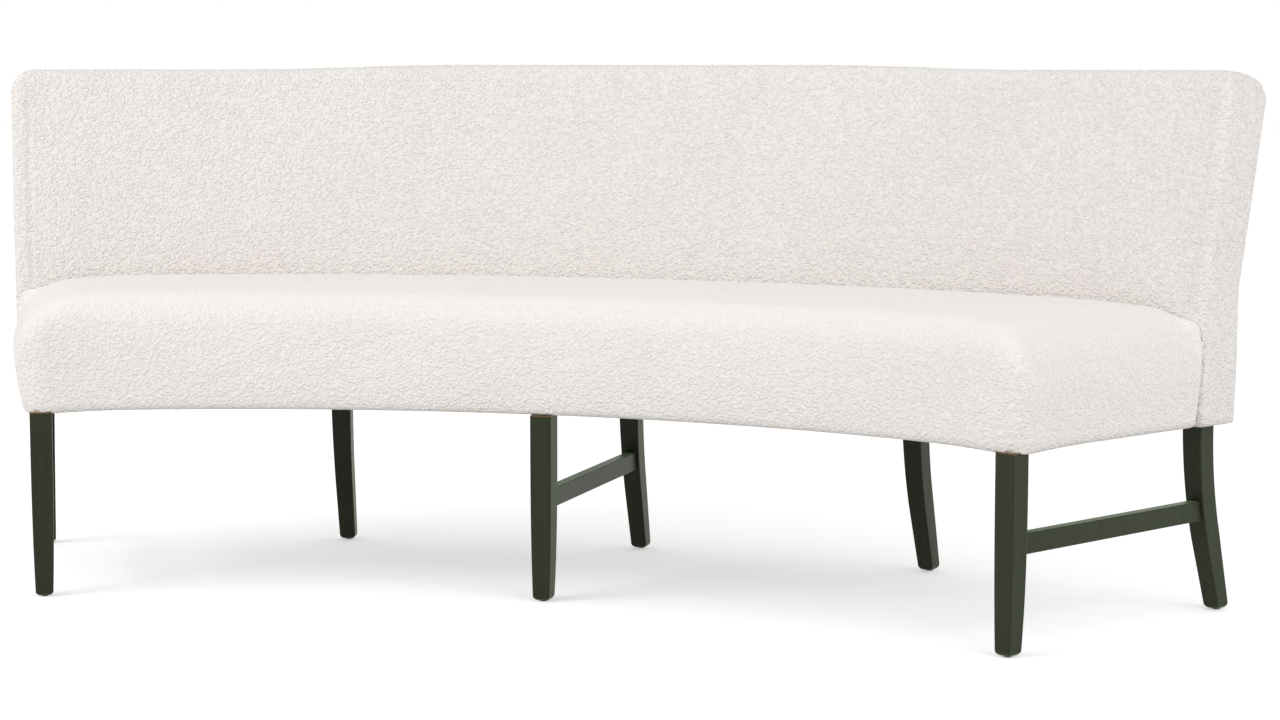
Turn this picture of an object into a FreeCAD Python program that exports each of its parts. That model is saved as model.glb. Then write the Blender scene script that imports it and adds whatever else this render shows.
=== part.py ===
"""Curved upholstered banquette bench on painted wooden legs, as separate pieces, in millimetres.

The bench is an arc in plan, hollow towards the sitter's side. Pieces are drawn about the arc's
upright centre line, where y is the distance from that line and z the height above the floor,
and are then set back so that the bench stands centred over the origin. Front is -Y, right is +X.
"""

import FreeCAD, Part
import os
import re
import Sketcher
from math import cos, radians, sin, sqrt, tan

# Driving sizes, in millimetres and degrees
SIZES = {
    # plan of the bench
    "end_angle": 29.75,
    "seat_front_radius": 1660.0,
    "seat_depth": 437.0,
    "back_thickness": 97.0,
    "front_leg_setback": 18.5,
    "rear_leg_setback": 52.0,
    "leg_end_setback": 29.3,
    # heights above the floor
    "glide_height": 2.0,
    "seat_underside": 308.0,
    "back_height": 878.0,
    # gaps and overruns
    "fit_gap": 0.3,
    "module_gap": 0.4,
    "bore_gap": 0.2,
    "overrun": 50.0,
    # legs
    "leg_top_width": 36.0,
    "leg_top_depth": 36.0,
    "leg_foot_width": 28.5,
    "leg_foot_depth": 29.0,
    "leg_edge_round": 2.0,
    "leg_foot_round": 8.0,
    "leg_sweep_angle": 16.0,
    "leg_bend_height": 183.0,
    "glide_radius": 5.5,
    # stretchers
    "stretcher_bottom": 152.0,
    "stretcher_height": 32.0,
    "stretcher_thickness": 20.0,
    "stretcher_edge_round": 1.5,
    "tenon_length": 14.0,
    "tenon_thickness": 10.0,
    "tenon_shoulder": 4.0,
    # leg fixings
    "leg_bolt_setback": 6.0,
    "leg_bolt_side_step": 4.0,
    "leg_bolt_radius": 4.0,
    "leg_bolt_depth": 40.0,
    "leg_bolt_rise": 34.0,
    "insert_radius": 6.5,
    "insert_length": 20.0,
    "leg_dowel_radius": 3.0,
    "leg_dowel_side_step": 9.0,
    "leg_dowel_depth": 15.0,
    "leg_dowel_rise": 17.0,
    # seat frame
    "edge_foam_thickness": 10.4,
    "rail_thickness": 36.0,
    "rail_rise": 40.0,
    "cross_rail_thickness": 22.0,
    "rail_dowel_radius": 4.0,
    "rail_dowel_length": 40.0,
    "rail_dowel_foot": 10.0,
    "rail_dowel_inset": 17.0,
    "glue_block_side": 45.0,
    "glue_block_height": 60.0,
    # seat suspension and padding
    "strap_thickness": 1.5,
    "strap_width": 50.0,
    "strap_margin": 5.0,
    "felt_thickness": 3.0,
    "felt_margin": 16.0,
    "seat_foam_thickness": 94.1,
    "cover_thickness": 3.0,
    "hem_lap": 46.0,
    "front_bulge": 8.0,
    "seat_crown": 8.0,
    "end_tilt": 4.5,
    "seat_front_round": 42.0,
    "seat_end_round": 100.0,
    "seat_corner_round": 28.0,
    "hem_round": 4.0,
    "dust_cover_thickness": 1.0,
    "dust_cover_leg_gap": 1.5,
    "dust_cover_end_inset": 24.0,
    # back form
    "front_lean": 9.9,
    "rear_lean": 12.0,
    "rear_knee_rise": 21.5,
    "knee_round": 300.0,
    "back_rear_drop": 6.0,
    "back_end_reach": 8.0,
    "back_front_round": 22.0,
    "back_rear_round": 45.0,
    "back_end_round": 40.0,
    "back_side_round": 14.0,
    "side_seam_inset": 12.0,
    "rear_seam_drop": 56.0,
    # back frame
    "back_foam_thickness": 28.0,
    "top_foam_thickness": 22.0,
    "side_foam_thickness": 10.0,
    "inner_board_thickness": 4.0,
    "outer_board_thickness": 3.0,
    "post_width": 60.0,
    "back_rail_height": 45.0,
    "top_rail_chamfer_drop": 30.0,
    "top_rail_chamfer_run": 24.0,
    "post_dowel_radius": 5.0,
    "post_dowel_length": 34.0,
    "post_dowel_step": 18.0,
    # bolts between seat and back
    "back_bolt_radius": 4.0,
    "back_bolt_length": 108.0,
    "back_bolt_head_radius": 6.5,
    "back_bolt_head_height": 5.0,
    "back_bolt_step": 20.0,
    "washer_radius": 11.0,
    "washer_thickness": 2.0,
    "nut_radius": 6.0,
    "nut_length": 18.0,
}
STRAP_COUNT = 20
FRONT_LEG_LEVELS = (0, 0.3, 0.55, 0.8, 1)

# Lengths that follow from the driving sizes
TERMS = {
    "degrees": "(180 / pi)",
    "back_front_radius": "(seat_front_radius + seat_depth)",
    "back_rear_radius": "(back_front_radius + back_thickness)",
    "front_leg_radius": "(seat_front_radius + front_leg_setback)",
    "rear_leg_radius": "(back_front_radius + rear_leg_setback)",
    "leg_angle": "(end_angle - degrees * leg_end_setback / front_leg_radius)",
    "rear_round_height": "(back_height - back_rear_drop - back_rear_round)",
    "rear_reach": "(back_rear_radius + (rear_round_height - rear_knee_height) * tan(rear_lean))",
    "front_reach": "((seat_front_radius - front_bulge / 2) * cos(end_angle))",
    "setback": "((rear_reach + front_reach) / 2)",
    "leg_height": "(seat_underside - glide_height)",
    "bend_radius": "(leg_bend_height / sin(leg_sweep_angle))",
    "bend_sweep": "(bend_radius * (1 - cos(leg_sweep_angle)))",
    "straight_sweep": "((leg_height - leg_bend_height) * tan(leg_sweep_angle))",
    "foot_sweep": "(bend_sweep + straight_sweep)",
    "seat_rear_radius": "(back_front_radius - module_gap)",
    "skin": "(cover_thickness + fit_gap)",
    "frame_front": "(seat_front_radius + skin + edge_foam_thickness + fit_gap)",
    "frame_rear": "(seat_rear_radius - skin)",
    "frame_end_inset": "(skin + edge_foam_thickness + fit_gap)",
    "end_rail_middle": "(frame_end_inset + cross_rail_thickness / 2)",
    "front_rail_back": "(frame_front + rail_thickness)",
    "rear_rail_front": "(frame_rear - rail_thickness)",
    "rail_bottom": "(seat_underside + skin)",
    "rail_height": "(back_rail_height + rail_rise)",
    "rail_top": "(rail_bottom + rail_height)",
    "rail_dowel_low": "(insert_length + rail_dowel_radius + rail_dowel_foot)",
    "rail_dowel_high": "(rail_height - rail_dowel_inset)",
    "strap_top": "(rail_top + strap_thickness)",
    "felt_top": "(strap_top + felt_thickness)",
    "seat_height": "(felt_top + fit_gap + seat_foam_thickness + skin)",
    "frame_end_angle": "(end_angle - degrees * frame_end_inset / seat_front_radius)",
    "strap_end_angle": "(frame_end_angle - degrees * (strap_width / 2 + strap_margin) / frame_front)",
    "front_knee_height": "seat_height",
    "rear_knee_height": "(seat_height + rear_knee_rise)",
    "block_front": "(back_front_radius + skin + back_foam_thickness)",
    "block_top": "(back_height - skin - top_foam_thickness)",
    "inner_board_front": "(block_front + fit_gap)",
    "inner_board_back": "(inner_board_front + inner_board_thickness)",
    "post_front": "(inner_board_back + fit_gap)",
    "outer_board_back": "(back_rear_radius - skin)",
    "outer_board_front": "(outer_board_back - outer_board_thickness)",
    "post_back": "(sqrt((outer_board_front - fit_gap) ^ 2 - (post_width / 2) ^ 2))",
    "post_middle": "((post_front + post_back) / 2)",
    "back_bolt_low": "(back_rail_height / 2)",
    "back_bolt_high": "(back_rail_height + rail_rise / 2)",
    "bearing_rail_front": "(back_front_radius + skin)",
    "bearing_rail_top": "(felt_top - fit_gap)",
    "lower_rail_top": "(rail_bottom + back_rail_height)",
    "top_rail_top": "(block_top - fit_gap)",
    "chamfer_foot": "(top_rail_top - top_rail_chamfer_drop)",
    "top_rail_bottom": "(top_rail_top - back_rail_height)",
    "back_frame_inset": "(skin + side_foam_thickness - back_end_reach)",
    "back_frame_angle": "(end_angle - degrees * (back_frame_inset + fit_gap) / back_front_radius)",
    "post_angle": "(back_frame_angle - degrees * (post_width / 2 + fit_gap) / post_front)",
    "tenon_height": "(stretcher_height - 2 * tenon_shoulder)",
    "stretcher_top": "(stretcher_bottom + stretcher_height)",
}
EVEN_LEGS = {"left": -1, "centre": 0, "right": 1}
ALL_LEGS = {"left": -1, "mid_left": -0.5, "centre": 0, "mid_right": 0.5, "right": 1}
CROSS_RAILS = {"outer_left": -0.75, "inner_left": -0.25, "inner_right": 0.25, "outer_right": 0.75}
ENDS = {"left": -1, "right": 1}
LEAST_SHARE = 0.02

doc = FreeCAD.newDocument("banquette")
sheet = doc.addObject("Spreadsheet::Sheet", "Sizes")
for row, (alias, size) in enumerate(SIZES.items(), 1):
    sheet.set(f"A{row}", alias)
    sheet.set(f"B{row}", repr(size))
    sheet.setAlias(f"B{row}", alias)
doc.recompute()
pieces = []


# Formulas
def bound(formula):
    """The formula with every named size and length written out for the sheet."""

    def spell(match):
        word = match.group()
        if word in TERMS:
            return bound(TERMS[word])
        return f"Sizes.{word}" if word in SIZES else word

    return re.sub(r"[a-z][a-z_0-9]*", spell, formula)


def value(formula):
    result = sheet.evalExpression(bound(formula))
    return float(getattr(result, "Value", result))


def bind(thing, **formulas):
    for name, formula in formulas.items():
        setattr(thing, name, value(formula))
        thing.setExpression(name, bound(formula))


def place(thing, angle="0", across="0", out="0", up="0", turn=None):
    """Set a piece on the arc: its turn about the centre line, then where its own origin goes."""
    spin = FreeCAD.Rotation(FreeCAD.Vector(0, 0, 1), -value(angle))
    thing.Placement = FreeCAD.Placement(FreeCAD.Vector(), spin.multiply(turn) if turn else spin)
    sideways = f"(({out}) * sin({angle}) + ({across}) * cos({angle}))"
    outwards = f"(({out}) * cos({angle}) - ({across}) * sin({angle}) - setback)"
    thing.setExpression("Placement.Base.x", bound(sideways))
    thing.setExpression("Placement.Base.y", bound(outwards))
    thing.setExpression("Placement.Base.z", bound(up))


def keep(thing):
    pieces.append(thing)
    return thing


# Sketches and bodies
def origin_plane(body, role):
    return next(item for item in body.Origin.OriginFeatures if item.Role == role)


def draw(body, name, role, corners, bends=None, offset=None):
    """A closed outline through corners, straight but where bends gives an arc's radius and side."""
    bends = bends or {}
    sketch = body.newObject("Sketcher::SketchObject", name)
    sketch.AttachmentSupport = [(origin_plane(body, role), "")]
    sketch.MapMode = "FlatFace"
    if offset:
        sketch.setExpression("AttachmentOffset.Base.z", bound(offset))
    points = [FreeCAD.Vector(value(x), value(y), 0) for x, y in corners]
    for index, start in enumerate(points):
        stop = points[(index + 1) % len(points)]
        if index in bends:
            radius, side = bends[index]
            sketch.addGeometry(bend(start, stop, value(radius), side), False)
        else:
            sketch.addGeometry(Part.LineSegment(start, stop), False)
    heads = [edge_ends(sketch, index, point) for index, point in enumerate(points)]
    for index, (x, y) in enumerate(corners):
        head = heads[index][0]
        before = (index - 1) % len(points)
        sketch.addConstraint(Sketcher.Constraint("Coincident", before, heads[before][1], index, head))
        for kind, formula in (("DistanceX", x), ("DistanceY", y)):
            number = sketch.addConstraint(Sketcher.Constraint(kind, -1, 1, index, head, value(formula)))
            sketch.setExpression(f"Constraints[{number}]", bound(formula))
    for index, (radius, _) in bends.items():
        number = sketch.addConstraint(Sketcher.Constraint("Radius", index, value(radius)))
        sketch.setExpression(f"Constraints[{number}]", bound(radius))
    return sketch


def bend(start, stop, radius, side):
    """The arc from start to stop that bows to the left (1) or right (-1) of the way there."""
    chord = stop - start
    left = FreeCAD.Vector(-chord.y, chord.x, 0).normalize()
    half = chord.Length / 2
    rise = radius - sqrt(radius**2 - half**2)
    return Part.Arc(start, (start + stop) / 2 + left * side * rise, stop)


def edge_ends(sketch, index, start):
    """Which end of an edge of the sketch is its start, and which its stop."""
    first, last = sketch.getPoint(index, 1), sketch.getPoint(index, 2)
    return (1, 2) if (first - start).Length < (last - start).Length else (2, 1)


def new_body(name):
    body = doc.addObject("PartDesign::Body", name)
    body.Label = name
    return body


def curved_body(name, corners, half_angle, bends=None):
    """A piece that follows the arc: an outline of distance and height, spun about the centre line."""
    body = new_body(name)
    sketch = draw(body, f"{name}_outline", "YZ_Plane", corners, bends)
    turned = body.newObject("PartDesign::Revolution", f"{name}_turned")
    turned.Profile = sketch
    turned.ReferenceAxis = (sketch, ["V_Axis"])
    turned.Midplane = True
    bind(turned, Angle=f"2 * ({half_angle})")
    place(body)
    return body


def flat_body(name, corners, thickness, angle, bends=None, offset=None):
    """A piece cut from board that stands on a line out from the centre: its side view, padded."""
    body = new_body(name)
    sketch = draw(body, f"{name}_outline", "YZ_Plane", corners, bends, offset)
    padded = body.newObject("PartDesign::Pad", f"{name}_thick")
    padded.Profile = sketch
    padded.Midplane = True
    bind(padded, Length=thickness)
    place(body, angle)
    return body


def rectangle(near, far, low, high):
    return [(near, low), (far, low), (far, high), (near, high)]


def round_bar(name, radius, length, **spot):
    bar = doc.addObject("Part::Cylinder", name)
    bar.Label = name
    bind(bar, Radius=radius, Height=length)
    place(bar, **spot)
    return bar


def group(name, members):
    together = doc.addObject("Part::Compound", name)
    together.Label = name
    together.Links = members
    return together


def cut(name, base, tool):
    left = doc.addObject("Part::Cut", name)
    left.Label = name
    left.Base = base
    left.Tool = tool
    return left


def shared(name, base, tool):
    both = doc.addObject("Part::Common", name)
    both.Label = name
    both.Base = base
    both.Tool = tool
    return both


def edge_points(edge):
    span = edge.LastParameter - edge.FirstParameter
    shares = (LEAST_SHARE, 0.5, 1 - LEAST_SHARE)
    return [edge.valueAt(edge.FirstParameter + span * share) for share in shares]


def rounded(name, base, rules):
    """Round every edge whose points all pass a rule's test, with that rule's radius."""
    doc.recompute()
    wanted = []
    for number, edge in enumerate(base.Shape.Edges, 1):
        spots = edge_points(edge)
        for radius, test in rules:
            if radius > 0 and all(test(spot) for spot in spots):
                wanted.append((number, radius, radius))
                break
    soft = doc.addObject("Part::Fillet", name)
    soft.Label = name
    soft.Base = base
    soft.Edges = wanted
    return soft


# Ends of the arc
class Ends:
    """The two end planes of a form, which stand on radii of the arc and may lean outwards."""

    def __init__(self, reach, tilt, inset):
        self.angle = radians(value("end_angle"))
        self.reach = value(reach) - value(inset)
        self.slope = tan(radians(value(tilt)))
        self.foot = value("seat_underside")
        self.setback = value("setback")

    def offset(self, height):
        return self.reach + self.slope * (height - self.foot)

    def beyond(self, spot):
        """How far a point is outside the nearer end plane, along the floor."""
        out = spot.y + self.setback
        return abs(spot.x) * cos(self.angle) - out * sin(self.angle) - self.offset(spot.z)

    def near(self, spot):
        return abs(self.beyond(spot)) < value("fit_gap") / 2

    def outline(self, height, far):
        """The sector between the two planes at a height, as a triangle that reaches far out."""
        off = self.offset(height)
        side = off * cos(self.angle) + far * sin(self.angle)
        out = far * cos(self.angle) - off * sin(self.angle) - self.setback
        tip = FreeCAD.Vector(0, -off / sin(self.angle) - self.setback, height)
        return [tip, FreeCAD.Vector(side, out, height), FreeCAD.Vector(-side, out, height)]

    def solid(self, name):
        far = 2 * value("back_rear_radius")
        low = self.outline(-value("overrun"), far)
        high = self.outline(value("back_height + overrun"), far)
        walls = [low, high] + [[low[i], low[i - 1], high[i - 1], high[i]] for i in range(len(low))]
        faces = [Part.Face(Part.makePolygon(wall + wall[:1])) for wall in walls]
        sector = doc.addObject("Part::Feature", name)
        sector.Shape = Part.Solid(Part.Shell(faces))
        return sector


def radius_of(spot):
    return sqrt(spot.x**2 + (spot.y + value("setback")) ** 2)


def across_of(spot, angle):
    """How far a point is to the side of the line that stands out from the centre at an angle."""
    turn = radians(value(angle))
    return spot.x * cos(turn) - (spot.y + value("setback")) * sin(turn)


def close(found, wanted):
    return abs(found - wanted) < value("fit_gap") / 2


# Cushion forms
def seat_form(name, inset, with_hem):
    """The seat cushion's outer form, drawn in by inset: bowed front, crowned top, soft ends."""
    front = f"(seat_front_radius + {inset})"
    rear = f"(seat_rear_radius - {inset})"
    low = f"(seat_underside + {inset})"
    high = f"(seat_height - {inset})"
    bow = f"((({high} - {low}) / 2) ^ 2 + front_bulge ^ 2) / (2 * front_bulge)"
    crown = f"((({rear} - {front}) / 2) ^ 2 + seat_crown ^ 2) / (2 * seat_crown)"
    corners = [(front, low), (front, high), (rear, high), (rear, low)]
    body = curved_body(f"{name}_block", corners, "end_angle + end_tilt", {0: (bow, 1), 1: (crown, 1)})
    ends = Ends("0", "end_tilt", inset)
    block = shared(f"{name}_ends", body, ends.solid(f"{name}_sector"))
    front_at, low_at, high_at = value(front), value(low), value(high)

    def front_top(spot):
        return close(radius_of(spot), front_at) and close(spot.z, high_at)

    def end_top(spot):
        return ends.near(spot) and spot.z > high_at - value("fit_gap")

    def end_front(spot):
        return ends.near(spot) and radius_of(spot) < front_at + value("fit_gap")

    def hem(spot):
        return close(spot.z, low_at) and (ends.near(spot) or close(radius_of(spot), front_at))

    step = value(inset)
    rules = [
        (value("seat_front_round") - step, front_top),
        (value("seat_end_round") - step, end_top),
        (value("seat_corner_round") - step, end_front),
        (value("hem_round") if with_hem else 0, hem),
    ]
    return rounded(name, block, rules)


def lean_at(kind, height):
    """How far the back's front or rear face has leant outwards at a height above its knee."""
    return f"(({height}) - {kind}_knee_height) * tan({kind}_lean)"


def face_line(kind, out, low, high):
    """The back's front or rear face, at a distance out: upright to its knee, then leaning."""
    run = f"knee_round * tan({kind}_lean / 2)"
    return [
        (out, low),
        (out, f"{kind}_knee_height - {run}"),
        (f"{out} + {run} * sin({kind}_lean)", f"{kind}_knee_height + {run} * cos({kind}_lean)"),
        (f"{out} + {lean_at(kind, high)}", high),
    ]


def back_outline(front, rear, low, high, kinds=("front", "rear"), rear_high=None):
    """A slice of the back between two of its face lines, each given by its distance out."""
    forward = face_line(kinds[0], front, low, high)
    backward = face_line(kinds[1], rear, low, rear_high or high)[::-1]
    return forward + backward, {1: ("knee_round", 1), 5: ("knee_round", -1)}


def back_form(name, inset, with_hem):
    """The back cushion's outer form, drawn in by inset: a leaning slab with soft edges."""
    front = f"(back_front_radius + {inset})"
    rear = f"(back_rear_radius - {inset})"
    low = f"(seat_underside + {inset})"
    high = f"(back_height - {inset})"
    rear_high = f"(back_height - back_rear_drop - {inset})"
    corners, bends = back_outline(front, rear, low, high, rear_high=rear_high)
    body = curved_body(f"{name}_block", corners, "end_angle + end_tilt", bends)
    ends = Ends("back_end_reach", "0", inset)
    block = shared(f"{name}_ends", body, ends.solid(f"{name}_sector"))
    low_at, high_at, rear_high_at = value(low), value(high), value(rear_high)
    middle_low = value(f"({front} + {rear}) / 2")
    middle_high = value(f"({front} + {lean_at('front', high)} + {rear} + {lean_at('rear', high)}) / 2")

    def is_front(spot):
        upper = spot.z > value("seat_height")
        return radius_of(spot) < (middle_high if upper else middle_low)

    def front_top(spot):
        return close(spot.z, high_at) and is_front(spot) and not ends.near(spot)

    def rear_top(spot):
        return close(spot.z, rear_high_at) and not is_front(spot) and not ends.near(spot)

    def end_top(spot):
        return ends.near(spot) and spot.z > rear_high_at - value("fit_gap")

    def end_side(spot):
        return ends.near(spot) and low_at + value("fit_gap") < spot.z < high_at

    def hem(spot):
        return close(spot.z, low_at) and (ends.near(spot) or not is_front(spot))

    step = value(inset)
    rules = [
        (value("back_front_round") - step, front_top),
        (value("back_rear_round") - step, rear_top),
        (value("back_end_round") - step, end_top),
        (value("back_side_round") - step, end_side),
        (value("hem_round") if with_hem else 0, hem),
    ]
    return rounded(name, block, rules)


# Bores that several pieces share
def leg_spots():
    """Every leg's angle on the arc, its distance from the centre line and its name."""
    spots = [(f"front_leg_{side}", share, "front_leg_radius") for side, share in EVEN_LEGS.items()]
    spots += [(f"rear_leg_{side}", share, "rear_leg_radius") for side, share in ALL_LEGS.items()]
    return [(name, f"leg_angle * {share}", radius) for name, share, radius in spots]


def leg_fixings(kind, radius, start, length, step="-leg_bolt_side_step"):
    """One upright bar over every leg, a step to the side of the leg's middle."""
    return [
        round_bar(
            f"{kind}_{name}", radius, length, angle=angle,
            out=f"{leg_radius} + leg_bolt_setback", across=step, up=start,
        )
        for name, angle, leg_radius in leg_spots()
    ]


def leg_bores():
    bolts = leg_fixings(
        "bolt_bore", "leg_bolt_radius + bore_gap", "seat_underside - leg_bolt_depth - fit_gap",
        "leg_bolt_depth + leg_bolt_rise + 2 * fit_gap",
    )
    dowels = leg_fixings(
        "dowel_bore", "leg_dowel_radius + bore_gap", "seat_underside - leg_dowel_depth - fit_gap",
        "leg_dowel_depth + leg_dowel_rise + 2 * fit_gap", "leg_dowel_side_step",
    )
    return group("leg_bores", bolts + dowels)


def insert_bores():
    return group("insert_bores", leg_fixings(
        "insert_bore", "insert_radius + bore_gap", "rail_bottom - overrun",
        "overrun + insert_length + fit_gap",
    ))


OUTWARDS = FreeCAD.Rotation(FreeCAD.Vector(1, 0, 0), -90)


def level_bars(kind, radius, length, spots):
    """Bars that point straight out from the centre line, one for each named spot."""
    return [
        round_bar(f"{kind}_{name}", radius, length, angle=angle, across=across, out=out, up=up, turn=OUTWARDS)
        for name, angle, across, out, up in spots
    ]


def rail_dowel_spots(reach):
    """Two dowels, one above the other, at each end of every cross rail and end rail."""
    spots = []
    lines = {side: (f"leg_angle * {share}", "0") for side, share in CROSS_RAILS.items()}
    for side, sign in ENDS.items():
        lines[f"end_{side}"] = (f"end_angle * {sign}", f"end_rail_middle * {-sign}")
    for side, (angle, across) in lines.items():
        for seam, out in (("front", "front_rail_back"), ("rear", "rear_rail_front")):
            for level in ("low", "high"):
                up = f"rail_bottom + rail_dowel_{level}"
                spots.append((f"{seam}_{level}_{side}", angle, across, f"{out} - ({reach}) / 2", up))
    return spots


def back_bolt_spots(out):
    """A low and a high bolt beside the middle of every post, towards the middle of the bench."""
    spots = []
    for side, share in ALL_LEGS.items():
        across = f"back_bolt_step * {1 if share <= 0 else -1}"
        for level in ("low", "high"):
            up = f"rail_bottom + back_bolt_{level}"
            spots.append((f"{level}_{side}", f"post_angle * {share}", across, out, up))
    return spots


def post_dowel_spots():
    """A dowel in every post's foot, on the side away from the bolts, and two in its head."""
    spots = []
    for side, share in ALL_LEGS.items():
        away = -1 if share <= 0 else 1
        heights = {"foot": ("lower_rail_top", [away]), "head": ("top_rail_bottom", [-1, 1])}
        for level, (seam, signs) in heights.items():
            leans = f"({lean_at('front', seam)} + {lean_at('rear', seam)}) / 2"
            out = "post_middle" if level == "foot" else f"post_middle + {leans}"
            for sign in signs:
                name = f"{level}_{side}_{'right' if sign > 0 else 'left'}"
                spots.append((name, f"post_angle * {share}", f"post_dowel_step * {sign}", out, seam))
    return spots


def post_dowels(kind, radius, length):
    dowels = []
    for name, angle, across, out, seam in post_dowel_spots():
        start = f"{seam} - ({length}) / 2"
        spot = {"angle": angle, "across": across, "out": out, "up": start}
        dowels.append(round_bar(f"{kind}_{name}", radius, length, **spot))
    return dowels


def rings(name, shells, holes):
    """A group of round pieces, each with its own hole through it."""
    pairs = enumerate(zip(shells, holes), 1)
    return keep(group(name, [cut(f"{name}_{index}", shell, hole) for index, (shell, hole) in pairs]))


# Legs and stretchers
def bend_edge(side):
    """Where a rear leg's front (-1) or rear (1) face leaves its bend for the straight."""
    radius = f"(bend_radius - leg_top_depth / 2 * {side})"
    out = f"rear_leg_radius + bend_radius - {radius} * cos(leg_sweep_angle)"
    return out, f"seat_underside - {radius} * sin(leg_sweep_angle)"


def leg_rules(low):
    """Eased long edges and a rounder foot."""
    def foot(spot):
        return close(spot.z, low)

    def long(spot):
        return not close(spot.z, low) and not close(spot.z, value("seat_underside"))

    return [(value("leg_foot_round"), foot), (value("leg_edge_round"), long)]


def drawn_in(kind, down):
    """How far a front leg's width or depth has drawn in at a share of its height from the top."""
    return f"(leg_top_{kind} - leg_foot_{kind}) * ({down}) ^ 3"


def front_leg(name, angle):
    """Upright leg: its front face is plumb, and the other three curve in towards the foot."""
    body = new_body(f"{name}_body")
    face = "front_leg_radius - leg_top_depth / 2"
    sketches = []
    for index, down in enumerate(FRONT_LEG_LEVELS):
        half = f"(leg_top_width - {drawn_in('width', down)}) / 2"
        rear = f"{face} + leg_top_depth - {drawn_in('depth', down)}"
        corners = [(f"-{half}", face), (half, face), (half, rear), (f"-{half}", rear)]
        height = f"seat_underside - {down} * leg_height"
        sketches.append(draw(body, f"{name}_section_{index}", "XY_Plane", corners, offset=height))
    loft = body.newObject("PartDesign::AdditiveLoft", f"{name}_taper")
    loft.Profile = sketches[0]
    loft.Sections = sketches[1:]
    place(body, angle)
    return rounded(f"{name}_eased", body, leg_rules(value("glide_height")))


def rear_leg(name, angle):
    """Swept leg: plumb under the back, then bending away to a foot that stands further out."""
    foot_front = "rear_leg_radius + foot_sweep - leg_foot_depth / 2"
    foot_rear = "rear_leg_radius + foot_sweep + leg_foot_depth / 2"
    corners = [
        ("rear_leg_radius - leg_top_depth / 2", "seat_underside"),
        bend_edge(-1),
        (foot_front, "glide_height"),
        (foot_rear, "glide_height"),
        bend_edge(1),
        ("rear_leg_radius + leg_top_depth / 2", "seat_underside"),
    ]
    bends = {
        0: ("bend_radius + leg_top_depth / 2", -1),
        4: ("bend_radius - leg_top_depth / 2", 1),
    }
    body = flat_body(f"{name}_body", corners, "leg_top_width", angle, bends)
    slope = "(leg_top_width - leg_foot_width) / 2 / leg_height"
    spare = [
        ("leg_top_width / 2", "seat_underside"),
        ("leg_foot_width / 2", "glide_height"),
        (f"leg_foot_width / 2 - {slope} * glide_height", "0"),
        ("leg_top_width / 2 + overrun", "0"),
        ("leg_top_width / 2 + overrun", "seat_underside"),
    ]
    sketch = draw(body, f"{name}_side", "XZ_Plane", spare)
    pocket = body.newObject("PartDesign::Pocket", f"{name}_side_taper")
    pocket.Profile = sketch
    pocket.Type = "ThroughAll"
    doc.recompute()
    mirrored = body.newObject("PartDesign::Mirrored", f"{name}_both_tapers")
    mirrored.Originals = [pocket]
    mirrored.MirrorPlane = (origin_plane(body, "YZ_Plane"), [""])
    body.Tip = mirrored
    return rounded(f"{name}_eased", body, leg_rules(value("glide_height")))


def front_leg_back_face(height):
    taper = drawn_in("depth", f"(seat_underside - {height}) / leg_height")
    return f"front_leg_radius + leg_top_depth / 2 - {taper}"


def rear_leg_front_face(height):
    radius = "(bend_radius + leg_top_depth / 2)"
    return f"rear_leg_radius + bend_radius - sqrt({radius} ^ 2 - (seat_underside - {height}) ^ 2)"


def stretcher(name, angle):
    """A rail from front leg to rear leg, shouldered to both faces, with a tenon at each end."""
    corners = [
        (f"{front_leg_back_face('stretcher_bottom')} + fit_gap", "stretcher_bottom"),
        (f"{rear_leg_front_face('stretcher_bottom')} - fit_gap", "stretcher_bottom"),
        (f"{rear_leg_front_face('stretcher_top')} - fit_gap", "stretcher_top"),
        (f"{front_leg_back_face('stretcher_top')} + fit_gap", "stretcher_top"),
    ]
    body = flat_body(f"{name}_body", corners, "stretcher_thickness", angle)
    sketch = draw(body, f"{name}_tenon_outline", "YZ_Plane", tenon_outline("0"))
    tenon = body.newObject("PartDesign::Pad", f"{name}_tenons")
    tenon.Profile = sketch
    tenon.Midplane = True
    bind(tenon, Length="tenon_thickness")
    half = value("stretcher_thickness / 2")

    def long_edge(spot):
        level = close(spot.z, value("stretcher_bottom")) or close(spot.z, value("stretcher_top"))
        return level and close(abs(across_of(spot, angle)), half)

    eased = rounded(name, body, [(value("stretcher_edge_round"), long_edge)])
    return keep(eased)


def tenon_outline(gap):
    near = f"{front_leg_back_face('stretcher_bottom')} - tenon_length - {gap}"
    far = f"{rear_leg_front_face('stretcher_top')} + tenon_length + {gap}"
    low = f"stretcher_bottom + tenon_shoulder - {gap}"
    return rectangle(near, far, low, f"{low} + tenon_height + 2 * {gap}")


def mortise_tool(name, angle):
    """What a stretcher's tenons take out of the two legs that it joins."""
    return flat_body(f"{name}_mortises", tenon_outline("bore_gap"), "tenon_thickness + 2 * bore_gap", angle)


def legs_and_stretchers(bores):
    """Eight legs with their glides, and the stretchers of the three pairs."""
    glides = []
    mortises = {}
    for side, share in EVEN_LEGS.items():
        mortises[side] = mortise_tool(f"stretcher_{side}", f"leg_angle * {share}")
        stretcher(f"stretcher_{side}", f"leg_angle * {share}")
    for name, angle, radius in leg_spots():
        is_front = name.startswith("front")
        leg = front_leg(name, angle) if is_front else rear_leg(name, angle)
        side = name.split("_leg_")[1]
        if side in mortises:
            leg = cut(f"{name}_mortised", leg, mortises[side])
        keep(cut(name, leg, bores))
        foot = "(leg_foot_depth - leg_top_depth) / 2" if is_front else "foot_sweep"
        out = f"{radius} + {foot}"
        glides.append(round_bar(f"glide_{name}", "glide_radius", "glide_height", angle=angle, out=out))
    keep(group("floor_glides", glides))


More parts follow.
